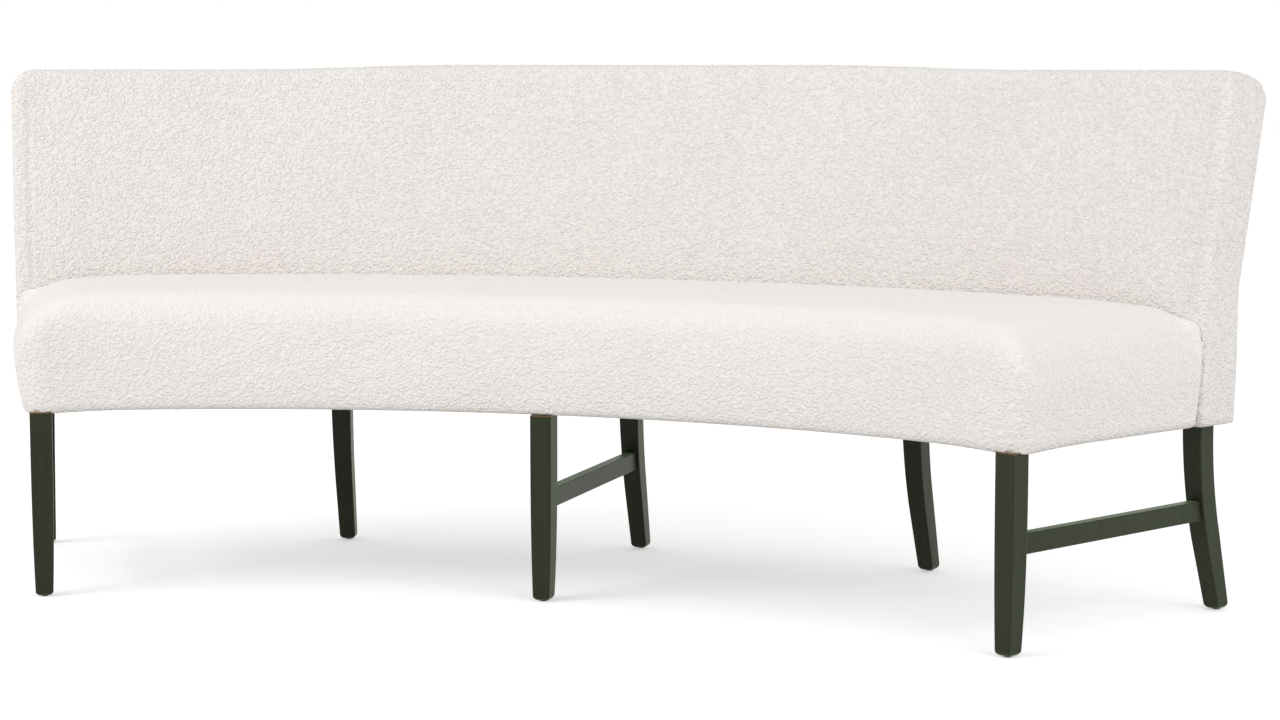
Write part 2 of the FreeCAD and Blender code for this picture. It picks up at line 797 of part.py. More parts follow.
def leg_hardware():
    """Hanger bolts, dowels and threaded insert nuts that hold the legs up to the frame."""
    keep(group("leg_bolts", leg_fixings(
        "leg_bolt", "leg_bolt_radius", "seat_underside - leg_bolt_depth", "leg_bolt_depth + leg_bolt_rise",
    )))
    keep(group("leg_dowels", leg_fixings(
        "leg_dowel", "leg_dowel_radius", "seat_underside - leg_dowel_depth",
        "leg_dowel_depth + leg_dowel_rise", "leg_dowel_side_step",
    )))
    shells = leg_fixings("leg_insert_shell", "insert_radius", "rail_bottom", "insert_length")
    holes = leg_fixings(
        "leg_insert_hole", "leg_bolt_radius + bore_gap", "rail_bottom - fit_gap",
        "insert_length + 2 * fit_gap",
    )
    rings("leg_insert_nuts", shells, holes)


# Seat frame and suspension
def seat_rails(tools):
    """The two curved rails, bored for what passes through them."""
    rails = {
        "seat_front_rail": rectangle("frame_front", "front_rail_back", "rail_bottom", "rail_top"),
        "seat_rear_rail": rectangle("rear_rail_front", "frame_rear", "rail_bottom", "rail_top"),
    }
    for name, outline in rails.items():
        rail = curved_body(f"{name}_body", outline, "frame_end_angle")
        for index, tool in enumerate(tools[name][:-1]):
            rail = cut(f"{name}_bored_{index}", rail, tool)
        keep(cut(name, rail, tools[name][-1]))


def seat_cross_rails(dowel_bores):
    """The straight rails that run from the front rail to the rear rail."""
    outline = rectangle(
        "front_rail_back + fit_gap", "sqrt(rear_rail_front ^ 2 - cross_rail_thickness ^ 2) - fit_gap",
        "rail_bottom", "rail_top",
    )
    for side, share in CROSS_RAILS.items():
        name = f"seat_cross_rail_{side}"
        body = flat_body(f"{name}_body", outline, "cross_rail_thickness", f"leg_angle * {share}")
        keep(cut(name, body, dowel_bores))
    end_outline = rectangle(
        "front_rail_back + fit_gap",
        "sqrt(rear_rail_front ^ 2 - (frame_end_inset + cross_rail_thickness) ^ 2) - fit_gap",
        "rail_bottom", "rail_top",
    )
    for side, sign in ENDS.items():
        name = f"seat_end_rail_{side}"
        angle, shift = f"end_angle * {sign}", f"end_rail_middle * {-sign}"
        body = flat_body(f"{name}_body", end_outline, "cross_rail_thickness", angle, offset=shift)
        keep(cut(name, body, dowel_bores))


def glue_blocks():
    """Three-cornered blocks glued between the front rail and each cross rail or end rail."""
    blocks = []
    half = "cross_rail_thickness / 2"
    lines = {side: (f"leg_angle * {share}", half) for side, share in CROSS_RAILS.items()}
    for side, sign in ENDS.items():
        lines[f"end_{side}"] = (f"end_angle * {sign}", "end_rail_middle + cross_rail_thickness / 2")
    for side, (angle, edge) in lines.items():
        sign = -1 if "left" in side else 1
        step = f"-({edge} + fit_gap) * {sign}"
        far = f"-({edge} + fit_gap + glue_block_side) * {sign}"
        body = new_body(f"glue_block_{side}")
        near = "front_rail_back + 2 * fit_gap"
        corners = [(step, near), (far, near), (step, f"{near} + glue_block_side")]
        sketch = draw(body, f"glue_block_{side}_plan", "XY_Plane", corners, offset="rail_bottom")
        padded = body.newObject("PartDesign::Pad", f"glue_block_{side}_tall")
        padded.Profile = sketch
        bind(padded, Length="glue_block_height")
        place(body, angle)
        blocks.append(body)
    keep(group("seat_glue_blocks", blocks))


def straps():
    """Elastic straps from the front rail's top to the rear rail's top."""
    bands = []
    for index in range(STRAP_COUNT):
        share = 2 * index / (STRAP_COUNT - 1) - 1
        band = doc.addObject("Part::Box", f"strap_{index + 1}")
        start = "frame_front + strap_margin"
        bind(
            band, Length="strap_width", Height="strap_thickness",
            Width=f"sqrt(frame_rear ^ 2 - strap_width ^ 2) - ({start})",
        )
        place(band, f"strap_end_angle * {share}", across="-strap_width / 2", out=start, up="rail_top")
        bands.append(band)
    keep(group("seat_straps", bands))


def seat_padding(tools):
    """Felt, foam, edge foam, cover and the cloth beneath."""
    felt = rectangle("frame_front + felt_margin", "frame_rear - felt_margin", "strap_top", "felt_top")
    keep(curved_body("seat_felt", felt, "frame_end_angle - degrees * felt_margin / frame_front"))
    wide = "end_angle + 2 * end_tilt"
    near, far = "seat_front_radius - overrun", "back_rear_radius + overrun"
    foam_space = curved_body("foam_space", rectangle(near, far, "felt_top + fit_gap", "back_height"), wide)
    low_space = curved_body("low_space", rectangle(near, far, "0", "felt_top"), wide)
    block = curved_body("frame_block", rectangle("frame_front - fit_gap", far, "0", "back_height"), wide)
    block_ends = Ends("0", "0", "frame_end_inset - fit_gap").solid("frame_block_sector")
    frame_block = shared("frame_block_ended", block, block_ends)
    keep(shared("seat_foam", seat_form("seat_foam_form", "skin", False), foam_space))
    low_form = shared("edge_foam_form", seat_form("seat_low_form", "skin", False), low_space)
    keep(cut("seat_edge_foam", low_form, frame_block))
    outer = seat_form("seat_cover_outside", "0", True)
    inner = seat_form("seat_cover_inside", "cover_thickness", False)
    mouth_outline = rectangle(
        "seat_front_radius + hem_lap", "seat_rear_radius - hem_lap", "0", "seat_underside + skin",
    )
    mouth_block = curved_body("cover_mouth_block", mouth_outline, wide)
    mouth = shared("cover_mouth", mouth_block, Ends("0", "0", "hem_lap").solid("cover_mouth_sector"))
    shell = cut("seat_cover_shell", outer, inner)
    opened = cut("seat_cover_opened", shell, mouth)
    bored = cut("seat_cover_bored", opened, tools["leg"])
    keep(cut("seat_cover", bored, tools["bolt"]))
    sheet_outline = rectangle(
        "front_leg_radius + leg_top_depth / 2 + dust_cover_leg_gap",
        "rear_leg_radius - leg_top_depth / 2 - dust_cover_leg_gap",
        "seat_underside - dust_cover_thickness", "seat_underside",
    )
    sheet_angle = "end_angle - degrees * dust_cover_end_inset / seat_front_radius"
    keep(curved_body("dust_cover", sheet_outline, sheet_angle))


# Back frame, padding and covers
def back_frame(tools):
    """Rails, posts and boards of the back, inside its padding."""
    bearing = rectangle("bearing_rail_front", "post_front - fit_gap", "rail_bottom", "bearing_rail_top")
    bearing_rail = curved_body("back_bearing_rail_body", bearing, "back_frame_angle")
    keep(cut("back_bearing_rail", bearing_rail, tools["bolt"]))
    lower = rectangle("post_front", "post_back", "rail_bottom", "lower_rail_top")
    lower_rail = curved_body("back_lower_rail_body", lower, "back_frame_angle")
    for tool in ("leg", "insert", "bolt", "nut"):
        lower_rail = cut(f"back_lower_rail_{tool}_bored", lower_rail, tools[tool])
    keep(cut("back_lower_rail", lower_rail, tools["post_dowel"]))
    rear_foot = f"post_back + {lean_at('rear', 'chamfer_foot')}"
    rear_top = f"post_back + {lean_at('rear', 'top_rail_top')} - top_rail_chamfer_run"
    upper = [
        (f"post_front + {lean_at('front', 'top_rail_bottom')}", "top_rail_bottom"),
        (f"post_back + {lean_at('rear', 'top_rail_bottom')}", "top_rail_bottom"),
        (rear_foot, "chamfer_foot"),
        (rear_top, "top_rail_top"),
        (f"post_front + {lean_at('front', 'top_rail_top')}", "top_rail_top"),
    ]
    top_rail = curved_body("back_top_rail_body", upper, "back_frame_angle")
    keep(cut("back_top_rail", top_rail, tools["post_dowel"]))
    corners, bends = back_outline("post_front", "post_back", "lower_rail_top", "top_rail_bottom")
    for side, share in ALL_LEGS.items():
        name = f"back_post_{side}"
        post = flat_body(f"{name}_body", corners, "post_width", f"post_angle * {share}", bends)
        for tool in ("bolt", "nut"):
            post = cut(f"{name}_{tool}_bored", post, tools[tool])
        keep(cut(name, post, tools["post_dowel"]))
    boards = {
        "back_inner_board": ("inner_board_front", "inner_board_back", "felt_top", "top_rail_top", "front"),
        "back_outer_board": ("outer_board_front", "outer_board_back", "rail_bottom", "chamfer_foot", "rear"),
    }
    for name, (front, rear, low, high, kind) in boards.items():
        corners, bends = back_outline(front, rear, low, high, (kind, kind))
        keep(curved_body(name, corners, "back_frame_angle", bends))


def foam_hollow():
    """The room that the back's frame takes up inside its foam."""
    front = face_line("front", "block_front", "felt_top + fit_gap", "block_top")
    outside = "(back_rear_radius + 2 * overrun)"
    corners = [("back_front_radius - overrun", "0"), ("back_front_radius - overrun", "felt_top + fit_gap")]
    corners += front
    corners += [
        (f"post_back + {lean_at('rear', 'top_rail_top')} - top_rail_chamfer_run", "block_top"),
        (f"outer_board_back + fit_gap + {lean_at('rear', 'chamfer_foot')}", "chamfer_foot + fit_gap"),
        (outside, "chamfer_foot + fit_gap"),
        (outside, "0"),
    ]
    block = curved_body("back_block", corners, "end_angle + 2 * end_tilt", {3: ("knee_round", 1)})
    return shared("back_block_ended", block, Ends("0", "0", "back_frame_inset").solid("back_block_sector"))


def back_padding(tools):
    """The back's foam, and its cover in four pieces: front and top, rear and underside, two sides."""
    keep(cut("back_foam", back_form("back_foam_form", "skin", False), foam_hollow()))
    outer = back_form("back_cover_outside", "0", True)
    inner = back_form("back_cover_inside", "cover_thickness", False)
    shell = cut("back_cover_shell", outer, inner)
    bored = cut("back_cover_bored", shell, tools["leg"])
    pierced = cut("back_cover_pierced", bored, tools["bolt"])
    seam = Ends("back_end_reach", "0", "side_seam_inset").solid("back_cover_sector")
    middle = shared("back_cover_middle", pierced, seam)
    half = "(back_front_radius + back_thickness / 2)"
    seam_height = "(back_height - rear_seam_drop)"
    corners, bends = back_outline(half, "back_rear_radius + 2 * overrun", "0", seam_height)
    rear_space = curved_body("rear_space", corners, "end_angle + 2 * end_tilt", bends)
    keep(cut("back_front_cover", middle, rear_space))
    keep(shared("back_rear_cover", middle, rear_space))
    sides = cut("back_cover_sides", pierced, seam)
    for side, sign in ENDS.items():
        half_space = doc.addObject("Part::Box", f"{side}_half")
        bind(
            half_space, Length="back_rear_radius + overrun", Width="2 * back_rear_radius",
            Height="back_height + overrun",
        )
        across = "0" if sign > 0 else "-(back_rear_radius + overrun)"
        place(half_space, across=across)
        keep(shared(f"back_side_cover_{side}", sides, half_space))


def seat_to_back_hardware():
    """Bolts from inside the seat frame into the back's rail and posts, with washers and insert nuts."""
    head_out = "rear_rail_front - fit_gap - washer_thickness"
    shanks = level_bars("back_bolt_shank", "back_bolt_radius", "back_bolt_length", back_bolt_spots(head_out))
    heads = level_bars(
        "back_bolt_head", "back_bolt_head_radius", "back_bolt_head_height",
        back_bolt_spots(f"{head_out} - back_bolt_head_height"),
    )
    bolts = []
    for index, (shank, head) in enumerate(zip(shanks, heads), 1):
        bolt = doc.addObject("Part::MultiFuse", f"back_bolt_{index}")
        bolt.Shapes = [head, shank]
        bolts.append(bolt)
    keep(group("seat_back_bolts", bolts))
    round_pieces = {
        "seat_back_washers": ("washer_radius", "washer_thickness", head_out),
        "seat_back_insert_nuts": ("nut_radius", "nut_length", "post_front"),
    }
    for name, (radius, length, out) in round_pieces.items():
        shells = level_bars(f"{name}_shell", radius, length, back_bolt_spots(out))
        holes = level_bars(
            f"{name}_hole", "back_bolt_radius + bore_gap", f"{length} + 2 * fit_gap",
            back_bolt_spots(f"{out} - fit_gap"),
        )
        rings(name, shells, holes)


def shared_bores():
    """Every bore that passes through more than one piece, by what goes in it."""
    return {
        "leg": leg_bores(),
        "insert": insert_bores(),
        "rail_dowel": group("rail_dowel_bores", level_bars(
            "rail_dowel_bore", "rail_dowel_radius + bore_gap", "rail_dowel_length + 2 * fit_gap",
            rail_dowel_spots("rail_dowel_length + 2 * fit_gap"),
        )),
        "bolt": group("back_bolt_bores", level_bars(
            "back_bolt_bore", "back_bolt_radius + bore_gap", "back_bolt_length + fit_gap",
            back_bolt_spots("rear_rail_front - washer_thickness"),
        )),
        "nut": group("nut_bores", level_bars(
            "nut_bore", "nut_radius + bore_gap", "nut_length + 2 * fit_gap",
            back_bolt_spots("post_front - fit_gap"),
        )),
        "post_dowel": group("post_dowel_bores", post_dowels(
            "post_dowel_bore", "post_dowel_radius + bore_gap", "post_dowel_length + 2 * fit_gap",
        )),
    }


def export():
    """Check every object of the model, then write one file for each piece."""
    doc.recompute()
    failed = [item.Name for item in doc.Objects if {"Invalid", "Error"} & set(item.State)]
    for piece in pieces:
        if piece.Shape.isNull() or not piece.Shape.isValid() or not piece.Shape.Solids:
            failed.append(piece.Label)
    if failed:
        raise RuntimeError(f"these did not come out: {sorted(set(failed))}")
    os.makedirs("parts", exist_ok=True)
    for piece in pieces:
        piece.Shape.exportStep(os.path.join("parts", f"{piece.Label}.step"))


def main():
    bores = shared_bores()
    legs_and_stretchers(bores["leg"])
    leg_hardware()
    seat_rails({
        "seat_front_rail": [bores["leg"], bores["insert"], bores["rail_dowel"]],
        "seat_rear_rail": [bores["bolt"], bores["rail_dowel"]],
    })
    seat_cross_rails(bores["rail_dowel"])
    keep(group("seat_rail_dowels", level_bars(
        "rail_dowel", "rail_dowel_radius", "rail_dowel_length", rail_dowel_spots("rail_dowel_length"),
    )))
    glue_blocks()
    straps()
    seat_padding(bores)
    back_frame(bores)
    keep(group("back_post_dowels", post_dowels("post_dowel", "post_dowel_radius", "post_dowel_length")))
    back_padding(bores)
    seat_to_back_hardware()
    export()


main()
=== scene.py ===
"""Curved banquette bench: its cushions, finishes and studio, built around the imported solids."""

import math

import bmesh
import bpy
import numpy as np
from bpy.props import FloatProperty, FloatVectorProperty, IntProperty, PointerProperty
from mathutils import Matrix, Vector, noise


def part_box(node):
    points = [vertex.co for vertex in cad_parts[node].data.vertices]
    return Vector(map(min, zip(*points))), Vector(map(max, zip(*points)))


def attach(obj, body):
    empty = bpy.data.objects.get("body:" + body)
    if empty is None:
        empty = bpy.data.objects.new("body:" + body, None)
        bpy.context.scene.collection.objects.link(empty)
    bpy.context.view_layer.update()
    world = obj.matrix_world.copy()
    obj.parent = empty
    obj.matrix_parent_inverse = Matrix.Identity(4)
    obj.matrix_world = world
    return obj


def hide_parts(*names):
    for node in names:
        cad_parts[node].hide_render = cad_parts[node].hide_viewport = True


bl_info = {
    "name": "Curved banquette bench",
    "version": (1, 0, 0),
    "blender": (4, 5, 0),
    "location": "3D View > Sidebar > Bench",
    "description": "Builds a curved banquette bench's cushions, finishes and studio around its packed solids",
    "category": "Object",
}

LEG_FRONT_RADIUS = 1.6605  # from the centre of the arc to the front of the middle front leg

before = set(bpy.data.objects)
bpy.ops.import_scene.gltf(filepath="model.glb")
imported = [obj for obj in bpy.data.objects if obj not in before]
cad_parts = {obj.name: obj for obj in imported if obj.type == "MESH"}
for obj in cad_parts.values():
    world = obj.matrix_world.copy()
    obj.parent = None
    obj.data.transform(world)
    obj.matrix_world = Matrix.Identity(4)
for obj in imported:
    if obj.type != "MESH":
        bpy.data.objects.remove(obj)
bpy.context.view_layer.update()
seat_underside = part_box("dust_cover")[1].z
arc_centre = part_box("front_leg_centre")[0].y - LEG_FRONT_RADIUS

SIDES = ["left", "right"]
FRONT_LEGS = ["left", "centre", "right"]
REAR_LEGS = ["left", "mid_left", "centre", "mid_right", "right"]
CROSS_RAILS = ["outer_left", "inner_left", "inner_right", "outer_right"]

ROUND_SEGMENTS = 10  # steps in each soft edge
END_ZONE = 0.1  # length at each end where the cushions keep their true lengths
CLOTH_QUALITY, CLOTH_STIFFNESS, CLOTH_BENDING = 4, 30, 8
EVENING_ROUNDS = 120  # how far the folds are spread
LEAST_LOOPS = 0.15  # share of the curls' height where a cover is hidden or held


# Sizes and colours
def length(name, description, default, low=0.0, high=5.0):
    return FloatProperty(
        name=name, description=description, default=default, min=low, max=high, subtype="DISTANCE", unit="LENGTH"
    )


def angle(name, description, degrees):
    return FloatProperty(name=name, description=description, default=math.radians(degrees), subtype="ANGLE")


def share(name, description, default, high=1.0):
    return FloatProperty(name=name, description=description, default=default, min=0.0, max=high, subtype="FACTOR")


def colour(name, description, default):
    return FloatVectorProperty(
        name=name, description=description, default=default, size=3, min=0.0, max=1.0, subtype="COLOR"
    )


class SeatChoices(bpy.types.PropertyGroup):
    """The seat cushion's form."""

    front_radius: length("Front radius", "Distance of the seat's front from the centre of the arc", 1.660)
    rear_radius: length("Rear radius", "Distance of the seat's rear from the centre of the arc", 2.0966)
    top: length("Top", "Height of the seat's top edge above the floor", 0.4985)
    crown: length("Crown", "How far the top rises between front and rear", 0.008)
    bulge: length("Front bulge", "How far the front swells out", 0.006)
    end_droop: length("End droop", "How far the top sinks towards its ends", 0.012)
    rear_droop: length("Rear droop", "How much further the top sinks at its rear corners", 0.009)
    end_tilt: angle("End tilt", "How far the ends lean outwards", 5.5)
    end_bulge: length("End bulge", "How far the ends swell out", 0.005)
    corner_sink: length("Corner sink", "How far the hem hangs lower at the front corners", 0.005)
    front_round: length("Front rounding", "Radius along the front of the top", 0.042)
    end_round: length("End rounding", "Radius along the ends of the top", 0.100)
    corner_round: length("Corner rounding", "Radius of the upright front corners", 0.048)
    fill: share("Fill", "How tightly the cushion is stuffed", 0.95)


class BackChoices(bpy.types.PropertyGroup):
    """The back cushion's form."""

    front_radius: length("Front radius", "Distance of the back's front from the centre of the arc", 2.097)
    thickness: length("Thickness", "Thickness of the back at the seat", 0.097)
    top: length("Top", "Height of the back's top above the floor", 0.8778)
    rear_drop: length("Rear drop", "How far the top falls towards the rear", 0.006)
    end_droop: length("End droop", "How far the top edge sinks towards its ends", 0.0078)
    front_knee: length("Front knee", "Height at which the front starts to lean", 0.4985)
    rear_knee: length("Rear knee", "Height at which the rear starts to lean", 0.520)
    front_lean: angle("Front lean", "How far the front leans back", 9.9)
    rear_lean: angle("Rear lean", "How far the rear leans back", 12.0)
    knee_length: length("Knee length", "Half the height over which the lean sets in", 0.028)
    end_reach: length("End reach", "How far the back's ends stand past the seat's foot", 0.008)
    foot_draw: length("Foot draw", "How far the ends draw in towards the foot", 0.002)
    end_round: length("End rounding", "Radius along the ends of the top", 0.040)
    rear_corner: length("Rear corner", "Radius of the upright rear corners", 0.014)
    side_seam: length("Side seam", "Distance of the side seams from the ends", 0.028)
    rear_seam: length("Rear seam", "Height of the rear seam above the floor", 0.822)
    fill: share("Fill", "How tightly the cushion is stuffed", 0.9)


class ClothChoices(bpy.types.PropertyGroup):
    """The looped cloth."""

    end_angle: angle("End angle", "Angle from the middle of the arc to its ends", 29.75)
    voxel: length("Voxel", "Mesh size that the cushions are simulated at", 0.008, 0.004, 0.02)
    pressure: FloatProperty(name="Pressure", description="Pressure that swells the cushions", default=4.0, min=0.0)
    swell: length("Swell", "How far a point may swell out", 0.005)
    inset: length("Inset", "How much smaller the cushions start than they end", 0.0004)
    folds: share("Folds", "Share of the simulated folds that stays", 0.15)
    frames: IntProperty(name="Frames", description="Length of the simulation", default=20, min=2, max=40)
    loop_height: length("Loop height", "Height of the curls", 0.0009)
    loop_step: length("Loop step", "Distance between neighbouring curls", 0.0115, 0.002)
    seam_depth: length("Seam depth", "Depth of the sewn seams", 0.0019)
    seam_width: length("Seam width", "Half the width of a seam's groove", 0.0034, 0.001)
    cream: colour("Cream", "Colour of the loops", (0.86, 0.832, 0.802))
    # Painted shade: the cloth is darkened towards this colour between the loops and towards its bottom edge; the
    # seams' stitch lines darken towards it too.
    crease_shade: colour("Crease", "Colour deep between the loops", (0.60, 0.55, 0.51))
    blush: colour("Blush", "Tint of the slightly warmer patches", (0.86, 0.805, 0.78))


class TimberChoices(bpy.types.PropertyGroup):
    """The finishes of legs and frame."""

    paint: colour("Paint", "Dark olive paint of legs and stretchers", (0.0210, 0.0245, 0.0125))
    paint_worn: colour("Worn paint", "Paint where it is thin", (0.046, 0.052, 0.032))
    bare: colour("Bare wood", "Bare wood at the tops of the legs", (0.13, 0.065, 0.03))
    pine: colour("Pine", "Wood of the hidden frame", (0.58, 0.43, 0.27))
    pine_dark: colour("Pine rings", "Late wood of the hidden frame", (0.40, 0.25, 0.13))
    board: colour("Board", "Face of the bent boards", (0.50, 0.36, 0.22))
    board_dark: colour("Board fibres", "Fibres of the bent boards", (0.34, 0.23, 0.13))


class HiddenChoices(bpy.types.PropertyGroup):
    """The finishes of suspension, lining and hardware."""

    felt: colour("Felt", "Felt pad under the foam", (0.35, 0.34, 0.33))
    strap: colour("Strap", "Elastic straps", (0.20, 0.19, 0.18))
    lining: colour("Lining", "Cloth under the seat", (0.045, 0.045, 0.047))
    lining_front: length("Lining front", "Distance of the lining's front from the centre of the arc", 1.698)
    lining_rear: length("Lining rear", "Distance of the lining's rear from the centre of the arc", 2.1295)
    lining_sag: length("Lining sag", "How far the lining sags between rails", 0.003, 0.0, 0.006)
    staple_step: length("Staple step", "Distance between neighbouring staples", 0.055, 0.02)
    zinc: colour("Zinc", "Plated fasteners", (0.70, 0.70, 0.68))
    glide: colour("Glide", "Plastic under the feet", (0.045, 0.045, 0.045))


class StudioChoices(bpy.types.PropertyGroup):
    """Floor, lamps and camera."""

    camera_place: FloatVectorProperty(
        name="Camera", description="Where the camera stands", default=(1.515, -4.4565, 0.877), size=3,
        subtype="TRANSLATION", unit="LENGTH",
    )
    camera_turn: FloatVectorProperty(
        name="Camera turn", description="How the camera is turned", size=3, subtype="EULER", unit="ROTATION",
        default=(math.radians(90 - 6.02), 0.0, math.radians(17.48)),
    )
    lens: FloatProperty(name="Lens", description="Focal length in millimetres", default=78.74, min=10, max=300)
    floor: colour("Floor", "Colour of the floor", (0.84, 0.84, 0.84))
    floor_glow: share("Floor glow", "White that the floor shows to the camera", 0.42)
    sky: share("Sky", "Strength of the even light from all round", 0.70, 2.0)
    left_lamp: FloatProperty(name="Left lamp", description="Power of the lamp front left", default=135, unit="POWER")
    right_lamp: FloatProperty(name="Right lamp", description="Power of the lamp front right", default=47, unit="POWER")
    side_lamp: FloatProperty(name="Side lamp", description="Power of the lamp on the right", default=50, unit="POWER")


# Mesh helpers
def eased(values, low, high):
    """0 below low, 1 above high, with a smooth step between."""
    t = np.clip((values - low) / (high - low), 0.0, 1.0)
    return t * t * (3 - 2 * t)


def points_of(mesh):
    found = np.empty(len(mesh.vertices) * 3)
    mesh.vertices.foreach_get("co", found)
    return found.reshape(-1, 3)


def normals_of(mesh):
    found = np.empty(len(mesh.vertices) * 3)
    mesh.vertex_normals.foreach_get("vector", found)
    return found.reshape(-1, 3)


def set_points(mesh, points):
    mesh.vertices.foreach_set("co", points.astype(np.float32).ravel())
    mesh.update()


def new_piece(name, mesh, material):
    """Put a finished mesh in the scene as a piece that rides on the bench."""
    piece = bpy.data.objects.new(name, mesh)
    bpy.context.scene.collection.objects.link(piece)
    mesh.name = name
    mesh.materials.clear()
    mesh.materials.append(material)
    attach(piece, "root")
    return piece


def bake_modifiers(piece):
    """Replace the piece's mesh with the one its modifiers show, and drop them."""
    shown = piece.evaluated_get(bpy.context.evaluated_depsgraph_get())
    piece_mesh = bpy.data.meshes.new_from_object(shown)
    old = piece.data
    piece.modifiers.clear()
    piece.data = piece_mesh
    bpy.data.meshes.remove(old)


def padded_block(name, half_length, inner, outer, low, high, rounds):
    """A straight block with soft edges in even squares: x along the bench, y out from the arc, z up."""
    bm = bmesh.new()
    bmesh.ops.create_cube(bm, size=1.0)
    bmesh.ops.scale(bm, vec=(2 * half_length, outer - inner, high - low), verts=bm.verts)
    bmesh.ops.translate(bm, vec=(0, (inner + outer) / 2, (low + high) / 2), verts=bm.verts)
    largest = max(rounds.values())
    weight = bm.edges.layers.float.new("bevel_weight_edge")
    middle = Vector((0, (inner + outer) / 2, (low + high) / 2))
    for edge in bm.edges:
        spot = (edge.verts[0].co + edge.verts[1].co) / 2 - middle
        lies = []
        if abs(spot.z) > 1e-6:
            lies.append("top" if spot.z > 0 else "foot")
        if abs(spot.y) > 1e-6:
            lies.append("rear" if spot.y > 0 else "front")
        if abs(spot.x) > 1e-6:
            lies.append("end")
        edge[weight] = rounds[" ".join(lies)] / largest
    mesh = bpy.data.meshes.new(name)
    bm.to_mesh(mesh)
    bm.free()
    piece = bpy.data.objects.new(name, mesh)
    bpy.context.scene.collection.objects.link(piece)
    bevel = piece.modifiers.new("Soft edges", "BEVEL")
    bevel.limit_method = "WEIGHT"
    bevel.width = largest
    bevel.segments = ROUND_SEGMENTS
    bevel.profile = 0.5
    bevel.use_clamp_overlap = False
    remesh = piece.modifiers.new("Even squares", "REMESH")
    remesh.mode = "VOXEL"
    remesh.voxel_size = bpy.context.scene.bench_cloth.voxel
    bake_modifiers(piece)
    return piece


def on_the_arc(points, half_length, offset):
    """Bend straight points round the arc, with ends that stand on its radii or the given distance past them."""
    end = bpy.context.scene.bench_cloth.end_angle
    along, out, up = points.T
    inboard = half_length - np.abs(along)
    spread = eased(inboard, END_ZONE, half_length)
    inboard = inboard + (out * end - half_length) * spread - offset * (1 - spread)
    turn = np.sign(along) * (end - inboard / out)
    return np.stack([out * np.sin(turn), out * np.cos(turn) + arc_centre, up], axis=1)


def swell(piece, held):
    """Swell the cover by a short cloth simulation: the points given are held, and no point sinks into the foam."""
    cloth = bpy.context.scene.bench_cloth
    scene = bpy.context.scene
    rest = points_of(piece.data)
    pins = piece.vertex_groups.new(name="held")
    pins.add(np.flatnonzero(held).tolist(), 1.0, "REPLACE")
    modifier = piece.modifiers.new("Cover", "CLOTH")
    settings = modifier.settings
    settings.quality = CLOTH_QUALITY
    settings.vertex_group_mass = "held"
    settings.use_pressure = True
    settings.uniform_pressure_force = cloth.pressure
    settings.effector_weights.gravity = 0
    settings.tension_stiffness = settings.compression_stiffness = CLOTH_STIFFNESS
    settings.bending_stiffness = CLOTH_BENDING
    modifier.point_cache.frame_start, modifier.point_cache.frame_end = 1, cloth.frames
    for step in range(1, cloth.frames + 1):
        scene.frame_set(step)
    shown = piece.evaluated_get(bpy.context.evaluated_depsgraph_get()).to_mesh()
    moved = points_of(shown) - rest
    piece.evaluated_get(bpy.context.evaluated_depsgraph_get()).to_mesh_clear()
    piece.modifiers.clear()
    piece.vertex_groups.clear()
    scene.frame_set(1)
    normals = normals_of(piece.data)
    outward = np.maximum((moved * normals).sum(axis=1), 0)
    grown = cloth.swell * np.tanh(outward / cloth.swell)
    grown += (1 - cloth.folds) * (evened(piece.data, grown, held, EVENING_ROUNDS) - grown)
    set_points(piece.data, rest + normals * grown[:, None])


def evened(mesh, values, held, rounds):
    """Spread values over neighbouring points, except at the held ones."""
    ends = np.empty(2 * len(mesh.edges), np.int32)
    mesh.edges.foreach_get("vertices", ends)
    first, second = ends.reshape(-1, 2).T
    count = len(values)
    near = np.bincount(first, minlength=count) + np.bincount(second, minlength=count)
    for _ in range(rounds):
        total = np.bincount(first, values[second], count) + np.bincount(second, values[first], count)
        values = np.where(held, values, (values + total / near) / 2)
    return values


def finer(piece):
    """One round of subdivision, applied."""
    smooth = piece.modifiers.new("Finer", "SUBSURF")
    smooth.levels = smooth.render_levels = 1
    bake_modifiers(piece)


def curls(points, step):
    """Height of the cloth's curls at each point: wandering lumps with narrow valleys, and slow unevenness."""
    heights = np.empty(len(points))
    for i, spot in enumerate(points):
        p = Vector(spot) / step
        wander = noise.noise_vector(p * 0.6) * 0.7
        curl = min(1.0, abs(noise.noise(p + wander)) * 3.4)
        wool = noise.noise(p * 2.3 + wander)
        lump = noise.noise(p * 0.16)
        heights[i] = 0.8 * curl + 0.3 * wool + 0.3 * lump - 0.5
    return heights


def store(mesh, name, values):
    made = mesh.attributes.new(name, "FLOAT", "POINT")
    made.data.foreach_set("value", values.astype(np.float32))


# Node helpers
def add(tree, kind, inputs=None, **settings):
    """Add a node; inputs are values or the sockets that feed them."""
    made = tree.nodes.new(kind)
    for name, setting in settings.items():
        setattr(made, name, setting)
    for name, source in (inputs or {}).items():
        if isinstance(source, bpy.types.NodeSocket):
            tree.links.new(source, made.inputs[name])
        else:
            made.inputs[name].default_value = source
    return made


def math_node(tree, operation, *inputs, clamp=False):
    return add(tree, "ShaderNodeMath", dict(enumerate(inputs)), operation=operation, use_clamp=clamp).outputs[0]


def mix(tree, factor, first, second, blend="MIX"):
    made = add(tree, "ShaderNodeMix", {0: factor, 6: first, 7: second}, data_type="RGBA", blend_type=blend)
    return made.outputs[2]


def remap(tree, value, low, high, to_low=0.0, to_high=1.0):
    made = add(
        tree, "ShaderNodeMapRange", {0: value, 1: low, 2: high, 3: to_low, 4: to_high},
        interpolation_type="SMOOTHSTEP",
    )
    return made.outputs[0]


